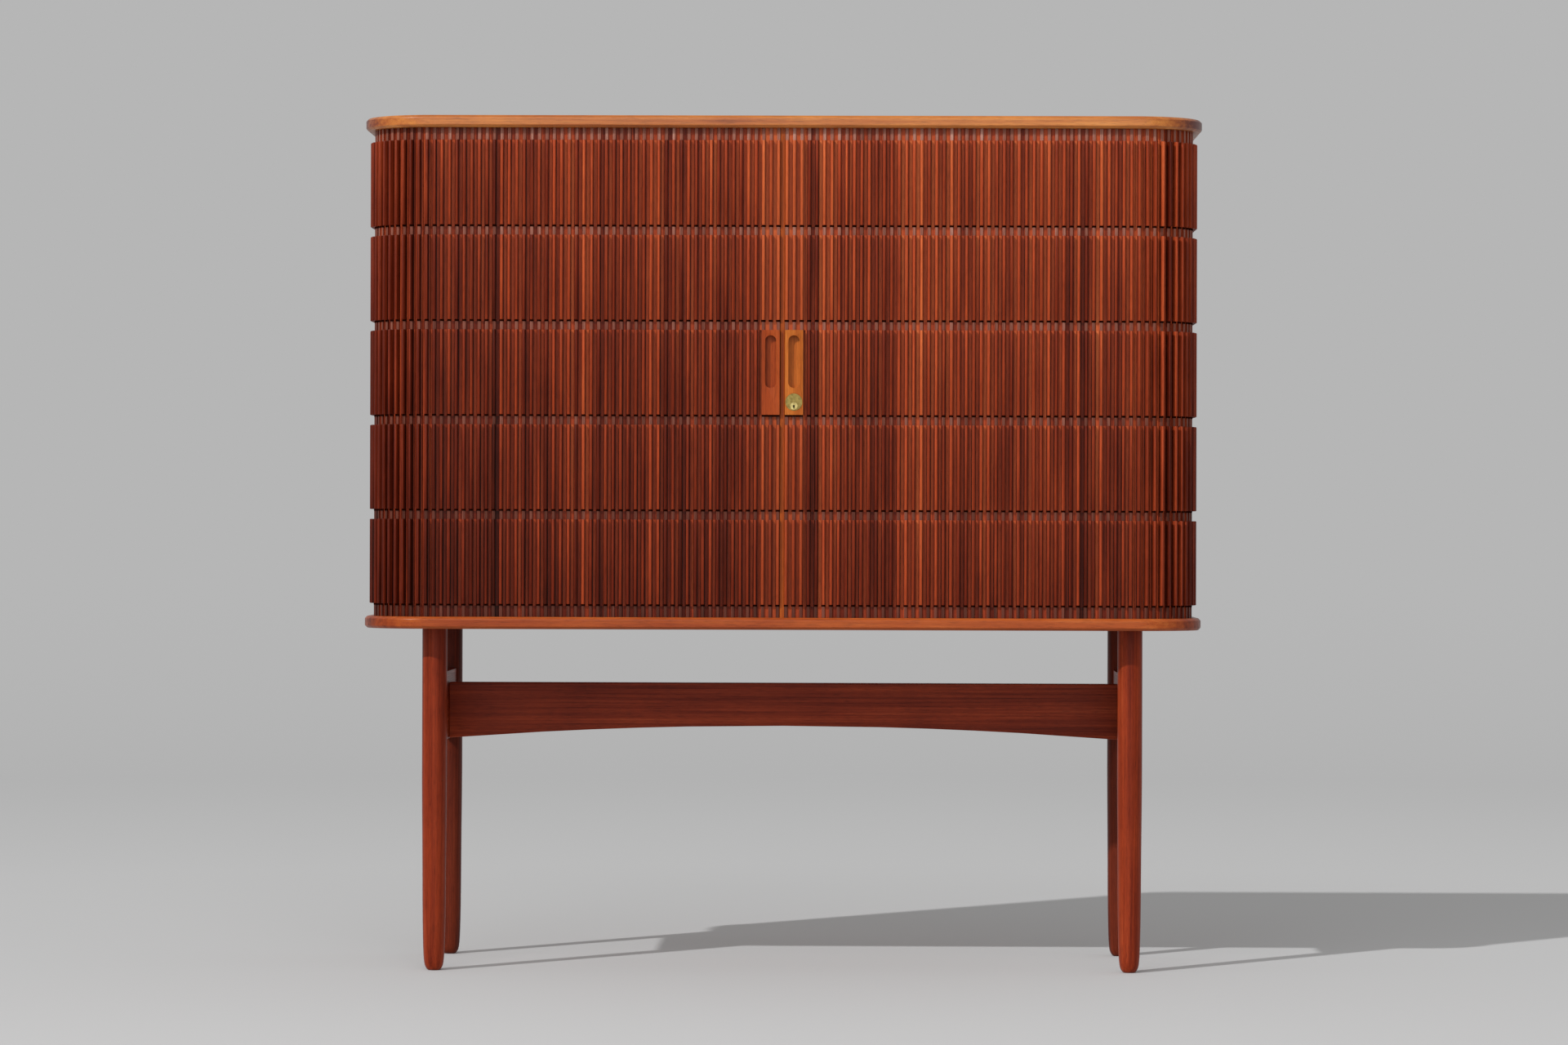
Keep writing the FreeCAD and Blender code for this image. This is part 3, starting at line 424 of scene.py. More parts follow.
class Shader:
    """A node material under construction."""

    def __init__(self, name):
        self.material = bpy.data.materials.new(name)
        self.material.use_nodes = True
        self.tree = self.material.node_tree
        self.surface = self.tree.nodes["Principled BSDF"]

    def node(self, kind, **settings):
        node = self.tree.nodes.new(kind)
        for name, value in settings.items():
            setattr(node, name, value)
        return node

    def link(self, output, socket):
        self.tree.links.new(output, socket)

    def paint(self, colour):
        self.link(colour, self.surface.inputs["Base Color"])

    def roughen(self, value, value_range, roughness, changes):
        """Roughness that follows a value over its range, from the first change to the second."""
        to_low, to_high = [roughness + change for change in changes]
        self.link(self.spread(value, *value_range, to_low, to_high), self.surface.inputs["Roughness"])

    def coordinates(self, attribute=None):
        if attribute:
            return self.node("ShaderNodeAttribute", attribute_name=attribute).outputs["Vector"]
        return self.node("ShaderNodeTexCoord").outputs["Object"]

    def component(self, vector, axis):
        split = self.node("ShaderNodeSeparateXYZ")
        self.link(vector, split.inputs[0])
        return split.outputs[axis]

    def noise(self, vector, scale, detail=3, roughness=0.6):
        """Noise whose scale is counted in waves per metre along X, Y and Z."""
        mapping = self.node("ShaderNodeMapping")
        self.link(vector, mapping.inputs["Vector"])
        mapping.inputs["Scale"].default_value = scale
        texture = self.node("ShaderNodeTexNoise")
        self.link(mapping.outputs["Vector"], texture.inputs["Vector"])
        texture.inputs["Scale"].default_value = 1
        texture.inputs["Detail"].default_value = detail
        texture.inputs["Roughness"].default_value = roughness
        return texture.outputs["Fac"]

    def math(self, operation, *values):
        node = self.node("ShaderNodeMath", operation=operation)
        for socket, value in zip(node.inputs, values):
            if isinstance(value, (int, float)):
                socket.default_value = value
            else:
                self.link(value, socket)
        return node.outputs[0]

    def add_share(self, total, part, share):
        """The total plus a share of how far the part lies from one half."""
        return self.math("MULTIPLY_ADD", self.math("SUBTRACT", part, 0.5), share, total)

    def spread(self, value, low, high, to_low=0, to_high=1):
        """The value moved from one range to another."""
        node = self.node("ShaderNodeMapRange")
        self.link(value, node.inputs["Value"])
        amounts = {"From Min": low, "From Max": high, "To Min": to_low, "To Max": to_high}
        for name, amount in amounts.items():
            node.inputs[name].default_value = amount
        return node.outputs["Result"]

    def ramp(self, value, marks):
        node = self.node("ShaderNodeValToRGB")
        self.link(value, node.inputs["Fac"])
        elements = node.color_ramp.elements
        while len(elements) < len(marks):
            elements.new(0.5)
        for element, (position, colour) in zip(elements, marks):
            element.position = position
            element.color = colour
        return node.outputs["Color"]

    def darken(self, colour, value):
        node = self.node("ShaderNodeMix", data_type="RGBA", blend_type="MULTIPLY")
        colours = [socket for socket in node.inputs if socket.type == "RGBA"]
        node.inputs["Factor"].default_value = 1
        self.link(colour, colours[0])
        self.link(value, colours[1])
        return next(socket for socket in node.outputs if socket.type == "RGBA")

    def bump(self, height, strength, distance):
        node = self.node("ShaderNodeBump")
        node.inputs["Strength"].default_value = strength
        node.inputs["Distance"].default_value = distance
        self.link(height, node.inputs["Height"])
        self.link(node.outputs["Normal"], self.surface.inputs["Normal"])


# Wood: waves per metre along the grain, and across it where every wood has the same
BAND_WAVES = 0.9
STREAK_WAVES = 4
PORE_WAVES = (70, 1500)
CLOUD_WAVES = (9, 14)
# How much each of them moves the colour
BAND_SHARE = 1.1
STREAK_SHARE = 1.2
CLOUD_SHARE = 0.5
# The pores' noise below which the wood is darkest and above which it is plain, and the darkest shade
PORE_RANGE_SHARES = (0.34, 0.5)
PORE_SHADE_SHARES = (0.66, 1)
# How far a surface has turned towards X where end grain begins to show, and where it is darkest
END_GRAIN_SHARES = (0.39, 1)
# Waves per metre of the other materials, along and across
BRUSH_WAVES = (300, 9000)
SPOT_WAVES = (260, 260)
MOULDED_WAVES = (2600, 2600)
PALE_WAVES = (30, 30)
SLUB_WAVES = (300, 90)
THREAD_PITCH = 1.1 * MM
# How rough a soft noise is, and the ranges of values over which colour and gloss change
SOFT_ROUGHNESS = 0.5
MIDDLE_SHARES = (0.3, 0.7)
BRUSH_SHARES = (0.2, 0.8)
SPOT_SHARES = (0.35, 0.62)
THREAD_SHARES = (0.15, 0.85)
# How much the weave counts against the slubs
WEAVE_SHARE = 0.35
# How much a surface's roughness changes over that range
WOOD_CHANGES = (0.06, -0.05)
METAL_CHANGES = (-0.08, 0.12)
PLASTIC_CHANGES = (-0.06, 0.08)
CLOTH_ROUGHNESS = 0.85
# Strength and depth of the finest relief
WOOD_RELIEF = (0.2, 0.1 * MM)
BRUSHED_RELIEF = (0.12, 0.02 * MM)
MOULDED_RELIEF = (0.2, 0.03 * MM)
WOVEN_RELIEF = (0.5, 0.15 * MM)


def wood(name, axis, marks, gloss=0.38, specular=0.12, attribute=None, bands=22, streaks=160,
         contrast=0.9, shade_share=0, painted_falloff_share=0, end_share=0):
    """Oiled wood: broad bands, fine streaks and pores along one axis, and if asked for darker end grain and
    painted light that falls off from top to bottom.
    """
    shader = Shader(name)
    vector = shader.coordinates(attribute)
    broad = shader.noise(vector, along(axis, BAND_WAVES, bands), roughness=SOFT_ROUGHNESS)
    fine = shader.noise(vector, along(axis, STREAK_WAVES, streaks), detail=5)
    pores = shader.noise(vector, along(axis, *PORE_WAVES))
    cloud = shader.noise(vector, along(axis, *CLOUD_WAVES), roughness=SOFT_ROUGHNESS)
    value = shader.add_share(PLAIN_SHARE, broad, BAND_SHARE * contrast)
    value = shader.add_share(value, fine, STREAK_SHARE * contrast)
    value = shader.add_share(value, cloud, CLOUD_SHARE * contrast)
    if shade_share:
        shade = shader.node("ShaderNodeAttribute", attribute_name="shade").outputs["Fac"]
        value = shader.add_share(value, shade, shade_share)
    # Painted light: lighter towards the top and darker towards the bottom
    if painted_falloff_share:
        height = shader.component(shader.coordinates(), "Z")
        value = shader.add_share(value, shader.spread(height, opening_base, opening_top), painted_falloff_share)
    if end_share:
        normal = shader.node("ShaderNodeNewGeometry").outputs["Normal"]
        endwise = shader.math("ABSOLUTE", shader.component(normal, "X"))
        darkness = shader.spread(endwise, *END_GRAIN_SHARES, 0, end_share)
        value = shader.math("SUBTRACT", value, darkness)
    pits = shader.spread(pores, *PORE_RANGE_SHARES, *PORE_SHADE_SHARES)
    shader.paint(shader.darken(shader.ramp(value, marks), pits))
    shader.roughen(fine, MIDDLE_SHARES, gloss, WOOD_CHANGES)
    shader.surface.inputs["Specular IOR Level"].default_value = specular
    shader.bump(shader.math("ADD", pits, fine), *WOOD_RELIEF)
    return shader.material


def metal(name, colour, dull_colour, roughness):
    """Metal with fine brushing and dull spots of age."""
    shader = Shader(name)
    vector = shader.coordinates()
    brush = shader.noise(vector, along("x", *BRUSH_WAVES))
    spots = shader.noise(vector, along("x", *SPOT_WAVES), detail=4)
    shader.paint(shader.ramp(spots, list(zip(SPOT_SHARES, (dull_colour, colour)))))
    shader.surface.inputs["Metallic"].default_value = 1
    shader.roughen(brush, BRUSH_SHARES, roughness, METAL_CHANGES)
    shader.bump(brush, *BRUSHED_RELIEF)
    return shader.material


def plastic(name, colour, pale_colour, roughness):
    """Moulded plastic with a fine grain."""
    shader = Shader(name)
    vector = shader.coordinates()
    grain = shader.noise(vector, along("x", *MOULDED_WAVES))
    cloud = shader.noise(vector, along("x", *PALE_WAVES), roughness=SOFT_ROUGHNESS)
    shader.paint(shader.ramp(cloud, list(zip(MIDDLE_SHARES, (colour, pale_colour)))))
    shader.roughen(grain, MIDDLE_SHARES, roughness, PLASTIC_CHANGES)
    shader.bump(grain, *MOULDED_RELIEF)
    return shader.material


def linen(name, warp, weft):
    """Plain woven cloth: crossed waves of upright and level threads."""
    shader = Shader(name)
    vector = shader.coordinates("grain")
    thread_turns = 2 * math.pi / THREAD_PITCH
    upright = shader.math("SINE", shader.math("MULTIPLY", shader.component(vector, "X"), thread_turns))
    level = shader.math("SINE", shader.math("MULTIPLY", shader.component(vector, "Z"), thread_turns))
    weave = shader.math("MULTIPLY", upright, level)
    slubs = shader.noise(vector, along("z", *SLUB_WAVES))
    value = shader.math("MULTIPLY_ADD", weave, WEAVE_SHARE, slubs)
    shader.paint(shader.ramp(value, list(zip(THREAD_SHARES, (weft, warp)))))
    shader.surface.inputs["Roughness"].default_value = CLOTH_ROUGHNESS
    shader.bump(weave, *WOVEN_RELIEF)
    return shader.material


SLAT_COLOURS = even_marks((34, 8, 3), (96, 30, 14), (160, 64, 32), (196, 98, 52), (214, 124, 72))
STILE_COLOURS = even_marks((84, 28, 14), (140, 54, 26), (180, 84, 44), (206, 116, 62))
MILLED_COLOURS = even_marks((62, 26, 14), (100, 50, 36), (140, 86, 70), (176, 130, 114))
# Near-black for the painted shadows under the fins and the pull blocks
PAINTED_SHADOW_COLOURS = even_marks((20, 5, 2), (48, 12, 5))
# Pale yellow, partly the seam strip's own tone and partly painted sheen
SEAM_AND_SHEEN_COLOURS = even_marks((106, 36, 6), (148, 64, 12), (182, 98, 28))
TOP_COLOURS = even_marks((96, 30, 10), (160, 84, 28), (188, 114, 46), (206, 138, 68))
BOTTOM_COLOURS = even_marks((96, 34, 8), (136, 54, 16), (160, 74, 26), (184, 100, 46))
LEG_COLOURS = even_marks((64, 15, 4), (107, 33, 12), (136, 49, 21), (162, 72, 37))
# The rear legs' colours: the legs' wood with painted shade
PAINTED_SHADE_LEG_COLOURS = even_marks((44, 11, 4), (80, 25, 11), (104, 38, 18), (130, 56, 30))
CEDAR_COLOURS = even_marks((140, 84, 52), (186, 124, 82), (214, 156, 110))
LEFT_BLOCK_COLOURS = even_marks((112, 38, 10), (148, 60, 20), (172, 82, 34))
RIGHT_BLOCK_COLOURS = even_marks((138, 62, 14), (174, 92, 30), (196, 116, 46))

# The fine upright grain of the slats
SLAT_GRAIN = {"axis": "z", "attribute": "grain", "bands": 130, "streaks": 620}
MILLED_GRAIN = {"axis": "z", "attribute": "grain", "bands": 130, "streaks": 700}
SLAT_FINISH = {"gloss": 0.3, "specular": 0.09, "contrast": 0.5, "shade_share": 1}
MILLED_FINISH = {"gloss": 0.45, "specular": 0.16, "contrast": 0.7, "shade_share": 0.6}
SEAM_FINISH = {"gloss": 0.3, "specular": 0.15, "contrast": 0.7}

# The slats, ribs and stiles get painted light that falls off towards the bottom
slat_wood = wood("slat_wood", marks=SLAT_COLOURS, painted_falloff_share=0.16, **SLAT_GRAIN, **SLAT_FINISH)
milled_wood = wood("milled_wood", marks=MILLED_COLOURS, painted_falloff_share=0.5, **MILLED_GRAIN, **MILLED_FINISH)
stile_wood = wood("stile_wood", marks=STILE_COLOURS, painted_falloff_share=0.3, **SLAT_GRAIN, **SLAT_FINISH)
painted_shadow_wood = wood("painted_shadow_wood", marks=PAINTED_SHADOW_COLOURS, gloss=0.7, specular=0, **MILLED_GRAIN)
seam_wood_and_sheen = wood("seam_wood_and_sheen", marks=SEAM_AND_SHEEN_COLOURS, **SLAT_GRAIN, **SEAM_FINISH)
top_wood = wood("top_wood", "x", TOP_COLOURS, gloss=0.33, specular=0.5, end_share=0.6)
bottom_wood = wood("bottom_wood", "x", BOTTOM_COLOURS, gloss=0.34, specular=0.25, end_share=0.3)
leg_wood = wood("leg_wood", "z", LEG_COLOURS, gloss=0.36, bands=55, streaks=260)
painted_shade_leg_wood = wood("painted_shade_leg_wood", "z", PAINTED_SHADE_LEG_COLOURS, gloss=0.36, bands=55, streaks=260)
rail_wood = wood("rail_wood", "x", LEG_COLOURS, gloss=0.4, bands=70, streaks=340)
side_rail_wood = wood("side_rail_wood", "y", LEG_COLOURS, gloss=0.4, bands=70, streaks=340)
carcass_wood = wood("carcass_wood", "z", BOTTOM_COLOURS, gloss=0.45)
cedar_upright = wood("cedar_upright", "z", CEDAR_COLOURS, gloss=0.6)
cedar_level = wood("cedar_level", "x", CEDAR_COLOURS, gloss=0.6)
cedar_runner = wood("cedar_runner", "y", CEDAR_COLOURS, gloss=0.6)
back_wood = wood("back_wood", "z", BOTTOM_COLOURS, gloss=0.5, contrast=1.1)
left_block_wood = wood("left_block_wood", "z", LEFT_BLOCK_COLOURS, bands=90, streaks=500)
right_block_wood = wood("right_block_wood", "z", RIGHT_BLOCK_COLOURS, bands=90, streaks=500)
canvas_cloth = linen("canvas_cloth", linear(176, 152, 118), linear(132, 106, 76))
brass = metal("aged_brass", linear(160, 140, 80), linear(124, 107, 60), roughness=0.42)
bright_brass = metal("bright_brass", linear(206, 189, 126), linear(168, 149, 92), roughness=0.32)
steel = metal("plated_steel", linear(190, 188, 184), linear(132, 130, 128), roughness=0.32)
# Near-black, partly the iron's own colour and partly painted shade in the keyway
iron_and_keyway_shade = metal("iron_and_keyway_shade", linear(14, 12, 10), linear(8, 7, 6), roughness=0.6)
black_plastic = plastic("black_plastic", linear(28, 28, 30), linear(36, 36, 38), roughness=0.5)
white_plastic = plastic("white_plastic", linear(206, 204, 198), linear(216, 214, 208), roughness=0.45)
display_glass = plastic("display_glass", linear(108, 118, 104), linear(120, 130, 116), roughness=0.14)


# Pieces taken over from the frame

# Shown as they are, each with its material
PLAIN_NODES = {
    "divider": cedar_upright,
    "floor_lining": cedar_level,
    "ceiling_lining": cedar_level,
    "shelf_runners": cedar_runner,
    "carcass_back": carcass_wood,
    "lock_plug": bright_brass,
    "lock_screw": steel,
    "humidifier_cartridge": white_plastic,
    "hygrometer_display": display_glass,
}
for node_name, material in PLAIN_NODES.items():
    for place in nodes[node_name].material_slots:
        place.link = "OBJECT"
        place.material = material

# Shown with rounded edges: each one's rounding in millimetres, its slot and its material
SOFTENED_NODES = {
    "top_slab": (2.2, "slab_wood", top_wood),
    "bottom_slab": (2.2, "slab_wood", bottom_wood),
    "side_rail_left": (2, "rail_wood", side_rail_wood),
    "side_rail_right": (2, "rail_wood", side_rail_wood),
    "stretcher": (2, "rail_wood", rail_wood),
    "carcass_side_left": (1, "carcass_wood", carcass_wood),
    "carcass_side_right": (1, "carcass_wood", carcass_wood),
    "back_panel": (0.8, "back_board", back_wood),
    "left_pull_block": (0.7, "block_wood", left_block_wood),
    "right_pull_block": (0.25, "block_wood", right_block_wood),
    "lock_case": (0.5, "brass", brass),
    "lock_hook": (0.4, "steel", steel),
    "left_strike": (0.4, "steel", steel),
    "humidifier_case": (0.8, "black_plastic", black_plastic),
    "hygrometer_case": (1, "black_plastic", black_plastic),
}
for shelf_side in SIDES:
    for number in SHELF_NUMBERS:
        SOFTENED_NODES[f"shelf_{shelf_side}_{number}"] = (1, "cedar", cedar_level)
for node_name, (rounding, slot, material) in SOFTENED_NODES.items():
    body = body_of(nodes[node_name])[0]
    show(softened(node_name, rounding * MM, material), body, node_name)


# Curtains

def pick_shade(x):
    """Most slats are much alike, a few are odd, the right door's middle is the lightest, and the left end
    has painted shade.
    """
    odd_share = random.choice(ODD_SHARES)
    rise_share = RISE_SHARE * min(x, LIGHTEST_X)
    fall_share = FALL_SHARE * max(x - LIGHTEST_X, 0)
    # Painted shade on the slats at the left end, where the key light falls full on them
    end_share = PAINTED_END_SHADE_SHARE * max(PAINTED_END_SHADE_X - x, 0)
    place_share = rise_share - fall_share - end_share
    shade = random.gauss(MEAN_SHARE + place_share + odd_share, SCATTER_SHARE)
    lowest, highest = LIMIT_SHARES
    return min(max(shade, lowest), highest)


def slat(timber, middle, reach, joints):
    """One slat between two joints that faces -Y, at a distance (reach) from the corner's centre."""
    across = (joints[0] + SLAT_GAP / 2, joints[1] - SLAT_GAP / 2)
    flat = (across[0] + BLADE_ROUNDING, across[1] - BLADE_ROUNDING)
    back = -(reach + slat_radius)
    face = back - BLADE_THICKNESS
    # The blade is painted lighter, as fill light in the fins' shade
    timber.block(across, (back, face), (slat_base, slat_top), BLADE_ROUNDING, shade_share=PAINTED_BLADE_LIGHT_SHARE)
    # Painted shade in the notches
    timber.notch_films(flat, face)
    timber.rib(middle, face)
    timber.rows(middle, face)


def front_slats(sign):
    """The front's slats, each with its fin on the edge that looks away from the seam."""
    timber = Timber()
    middles = [stile_reach + (i + 0.5) * front_pitch for i in range(FRONT_COUNT)]
    joints = [stile_reach] + [middle + FIN_WIDTH / 2 for middle in middles[:-1]] + [corner_x]
    for i, middle in enumerate(middles):
        timber.start(pick_shade(sign * middle))
        slat(timber, sign * middle, corner_y, sorted((sign * joints[i], sign * joints[i + 1])))
    return timber


def corner_slats(sign, first_turn, centre_y):
    timber = Timber()
    for i in range(CORNER_COUNT):
        turn = sign * (first_turn + (i + 0.5) * corner_step)
        timber.start(pick_shade(sign * side_high.x), (sign * corner_x, centre_y), turn)
        slat(timber, 0, 0, (-corner_pitch / 2, corner_pitch / 2))
    return timber


def side_slats(sign):
    timber = Timber()
    for i in range(SIDE_COUNT):
        timber.start(pick_shade(sign * side_high.x), (0, 0), sign * 90)
        joint = i * side_pitch - corner_y
        slat(timber, joint + side_pitch / 2, corner_x, (joint, joint + side_pitch))
    return timber


def lead_stile(side, sign):
    """A closing stile: the bar with its tongues, the ribs, the rows of fins and the pull block's seat."""
    low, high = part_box(f"{side}_lead_stile")
    block_low, block_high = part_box(f"{side}_pull_block")
    across = (low.x, high.x)
    timber = Timber()
    timber.start(PLAIN_SHARE)
    bar = (opening_base + STILE_HEADROOM, opening_top - STILE_HEADROOM)
    for levels in ((slat_base, bar[0]), (bar[1], slat_top)):
        timber.block(across, (slat_back_y, face_y), levels, BLADE_ROUNDING)
    seat_y = block_high.y
    timber.block(across, (high.y, seat_y), bar, SHARP)
    for levels in ((bar[0], block_low.z), (block_high.z, bar[1])):
        timber.block(across, (seat_y, face_y), levels, SHARP)
    for i in range(STILE_FIN_COUNT):
        middle = sign * (stile_reach - (i + 0.5) * front_pitch)
        timber.start(pick_shade(middle) + STILE_SHARE)
        timber.rows(middle, face_y, MIDDLE_ROW)
        timber.rib(middle, face_y, opening_base, block_low.z)
        timber.rib(middle, face_y, block_high.z, opening_top)
    block_middle = (block_low.x + block_high.x) / 2
    block_half = (block_high.x - block_low.x) / 2
    # Painted shadow under the pull block
    timber.paint_shadow(block_middle, block_half, face_y, block_low.z)
    return timber


def seam_strip():
    """The plain light strip along the right door's edge, whose pale yellow is partly its own tone and
    partly painted sheen.
    """
    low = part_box("right_lead_stile")[0]
    block_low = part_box("right_pull_block")[0]
    timber = Timber()
    across = (low.x + SEAM_INSET, block_low.x - SEAM_CLEARANCE)
    timber.block(across, (face_y, face_y - RIB_DEPTH), (opening_base, opening_top), RIB_ROUNDING)
    return timber


def ribbon(name, path, thickness, low, high):
    """A strip of cloth that stands on edge along a path, with its own thread coordinates."""
    timber = Timber()
    run = 0
    for i, (x, y) in enumerate(path):
        before = Vector(path[max(i - 1, 0)])
        after = Vector(path[min(i + 1, len(path) - 1)])
        forward = (after - before).normalized()
        run += (Vector((x, y)) - before).length
        inner = (x + forward.y * thickness, y - forward.x * thickness)
        corners = ((x, y, low), (x, y, high), (*inner, high), (*inner, low))
        for corner in corners:
            timber.points.append(corner)
            timber.shades.append(PLAIN_SHARE)
            timber.grains += [run, 0, corner[2]]
    count = len(corners)
    last = len(timber.points) - count
    timber.faces += ring_faces(0, count, len(path) - 1)
    timber.faces.append(tuple(range(count)))
    timber.faces.append(tuple(range(last, last + count)))
    timber.materials = [WOOD] * len(timber.faces)
    return timber.finish(name, [canvas_cloth])


for side, sign in SIDES.items():
    door = f"{side}_door"
    stretches = {
        "front": front_slats(sign),
        "front_corner": corner_slats(sign, 0, -corner_y),
        "side": side_slats(sign),
        "rear_corner": corner_slats(sign, 90, corner_y),
    }
    for place, timber in stretches.items():
        piece = timber.finish(f"{side}_{place}_tambour", [slat_wood, milled_wood, painted_shadow_wood])
        show(piece, "cabinet", f"{side}_{place}_slats")
        if place == "front":
            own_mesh(piece)
    stile = lead_stile(side, sign).finish(f"{side}_stile", [stile_wood, milled_wood, painted_shadow_wood])
    show(stile, door, f"{side}_lead_stile")
    low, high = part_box(f"{side}_front_canvas")
    thickness = high.y - low.y
    face = low.y
    front_path = [(sign * x, face) for x in (stile_reach, corner_x)]
    cloth = ribbon(f"{side}_front_cloth", front_path, sign * -thickness, low.z, high.z)
    show(cloth, "cabinet", f"{side}_front_canvas")
    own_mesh(cloth)
    radius = -corner_y - face
    side_path = arc(corner_x, -corner_y, radius, -90, 0, CLOTH_STEPS)
    side_path += arc(corner_x, corner_y, radius, 0, 90, CLOTH_STEPS)
    side_path = [(sign * x, y) for x, y in side_path]
    cloth = ribbon(f"{side}_side_cloth", side_path, sign * -thickness, low.z, high.z)
    show(cloth, "cabinet", f"{side}_side_canvas")
attach(seam_strip().finish("right_seam_strip", [seam_wood_and_sheen]), "right_door")


# Legs

# Pairs of radius and height of a leg's lower part, in millimetres
LEG_PROFILE = [
    (7.2, 0), (8.8, 0.8), (10.4, 2.4), (11.7, 4.6), (12.8, 7.4), (13.6, 11), (14.2, 16), (14.7, 23),
    (15.1, 32), (15.5, 46), (16, 70), (16.3, 100), (16.5, 140), (16.8, 185), (17.2, 225), (17.5, 270),
]
leg_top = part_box("leg_front_left")[1].z
# The rear legs take the copy with painted shade
for end, material in (("front", leg_wood), ("rear", painted_shade_leg_wood)):
    for side in SIDES:
        low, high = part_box(f"leg_{end}_{side}")
        centre = ((low.x + high.x) / 2, (low.y + high.y) / 2)
        profile = [(radius * MM, z * MM) for radius, z in LEG_PROFILE]
        profile.append(((high.x - low.x) / 2, leg_top))
        leg = lathe(f"{end}_{side}_leg", profile, centre, material)
        show(leg, "cabinet", f"leg_{end}_{side}")


# Screws

# Radius and height of the back's screw heads, and of those that the lock's hook swings over
BACK_HEAD = (3 * MM, 0.25 * MM)
SMALL_HEAD = (1.8 * MM, 0.35 * MM)
SCREW_INSET = 4 * MM
BACK_END_INSET = 12 * MM
BACK_SCREW_COUNT = 8
# Shares of a head's radius: half the slot, the dome and the slot's floor
SLOT_SHARE = 0.12
DOME_SHARE = 0.82
SLOT_FLOOR_SHARE = 0.9
# Shares of a head's height: its rim and the slot's floor
RIM_RISE_SHARE = 0.5
FLOOR_RISE_SHARE = 0.2
HEAD_STEPS = 10


def screw_heads(name, places, radius, height):
    """Slotted round heads that look towards +Y, on the places given."""
    points = []
    faces = []
    edge = math.degrees(math.asin(SLOT_SHARE))
    for x, y, z in places:
        for start in (edge, 180 + edge):
            end = start + 180 - 2 * edge
            rim = arc(0, 0, radius, start, end, HEAD_STEPS)
            dome = arc(0, 0, DOME_SHARE * radius, start, end, HEAD_STEPS)
            first = len(points)
            count = len(rim)
            for ring, rise in ((rim, 0), (rim, RIM_RISE_SHARE * height), (dome, height)):
                points += [(x + across, y + rise, z + upward) for across, upward in ring]
            faces += ring_faces(first, count, 2)
            faces.append(tuple(range(first + 2 * count, first + 3 * count)))
        first = len(points)
        floor_y = y + FLOOR_RISE_SHARE * height
        disc = arc(0, 0, SLOT_FLOOR_SHARE * radius, 0, 360, 2 * HEAD_STEPS)[:-1]
        points += [(x + across, floor_y, z + upward) for across, upward in disc]
        faces.append(tuple(range(first, first + len(disc))))
    return add_piece(name, new_mesh(name, points, faces), [steel])


def plate_corners(low, high, y):
    """Four places near the corners of a plate."""
    across = (low.x + SCREW_INSET, high.x - SCREW_INSET)
    upward = (low.z + SCREW_INSET, high.z - SCREW_INSET)
    return [(x, y, z) for x in across for z in upward]


def back_places():
    """Places along the upper and lower edges of the back panel."""
    low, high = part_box("back_panel")
    width = high.x - low.x - 2 * BACK_END_INSET
    places = []
    for i in range(BACK_SCREW_COUNT):
        x = low.x + BACK_END_INSET + width * i / (BACK_SCREW_COUNT - 1)
        places += [(x, high.y, low.z + SCREW_INSET), (x, high.y, high.z - SCREW_INSET)]
    return places


attach(screw_heads("back_screws", back_places(), *BACK_HEAD), "cabinet")
case_low, case_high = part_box("lock_case")
case_places = plate_corners(case_low, case_high, case_high.y)
attach(screw_heads("lock_case_screws", case_places, *SMALL_HEAD), "right_door")
strike_places = plate_corners(*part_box("left_strike"), case_high.y)
attach(screw_heads("strike_screws", strike_places, *SMALL_HEAD), "left_door")


# Keyway: the eye is open for some degrees to either side of straight down

WARDS_EYE_RADIUS = 1.3 * MM
WARDS_EYE_OPENING = 35
WARDS_SLIT_HALF = 0.7 * MM
WARDS_SLIT_DROP = 3.3 * MM
WARDS_INSET = 0.4 * MM
WARDS_DEPTH = 4 * MM
WARDS_STEPS = 12


def keyway_wards():
    """The wards inside the keyway: a round eye over a slit, whose near-black is partly their own colour and
    partly painted shade.
    """
    low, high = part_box("lock_plug")
    x = (low.x + high.x) / 2
    z = (low.z + high.z) / 2
    start = WARDS_EYE_OPENING - 90
    end = 270 - WARDS_EYE_OPENING
    outline = arc(x, z, WARDS_EYE_RADIUS, start, end, WARDS_STEPS)
    outline += [(x - WARDS_SLIT_HALF, z - WARDS_SLIT_DROP), (x + WARDS_SLIT_HALF, z - WARDS_SLIT_DROP)]
    front = low.y + WARDS_INSET
    points = [(across, y, upward) for y in (front, front + WARDS_DEPTH) for across, upward in outline]
    count = len(outline)
    faces = [tuple(range(count)), tuple(range(count, 2 * count))] + ring_faces(0, count, 1)
    return add_piece("keyway_wards", new_mesh("keyway_wards", points, faces), [iron_and_keyway_shade])


attach(keyway_wards(), "lock")


# Floor and background

BACKGROUND = linear(182, 182, 182)
FAR_FLOOR = linear(177, 177, 177)
# Linear light of the paper, and of the soft light from all round
PAPER_SHARES = (0.51, 0.53)
AMBIENT_SHARE = 0.5
# The paper's tooth in waves per metre, and how rough and how shiny the paper is
TOOTH_WAVES = (900, 900)
TOOTH_ROUGHNESS = 0.55
PAPER_ROUGHNESS = 0.95
PAPER_SPECULAR = 0.1
# Distances in metres: the floor's reach, where its paper fades and where its horizon begins
FLOOR_REACH = 60
FADE_START = 2.3
FADE_END = 6
HORIZON_START = 5


def grey(share):
    return (share, share, share, 1)


def seen_rays(tree):
    """One for the rays that look at the background: seen, reflected or through something."""
    rays = tree.nodes.new("ShaderNodeLightPath")
    value = rays.outputs["Is Camera Ray"]
    for name in ("Is Glossy Ray", "Is Transmission Ray"):
        either = tree.nodes.new("ShaderNodeMath")
        either.operation = "MAXIMUM"
        tree.links.new(value, either.inputs[0])
        tree.links.new(rays.outputs[name], either.inputs[1])
        value = either.outputs[0]
    return value


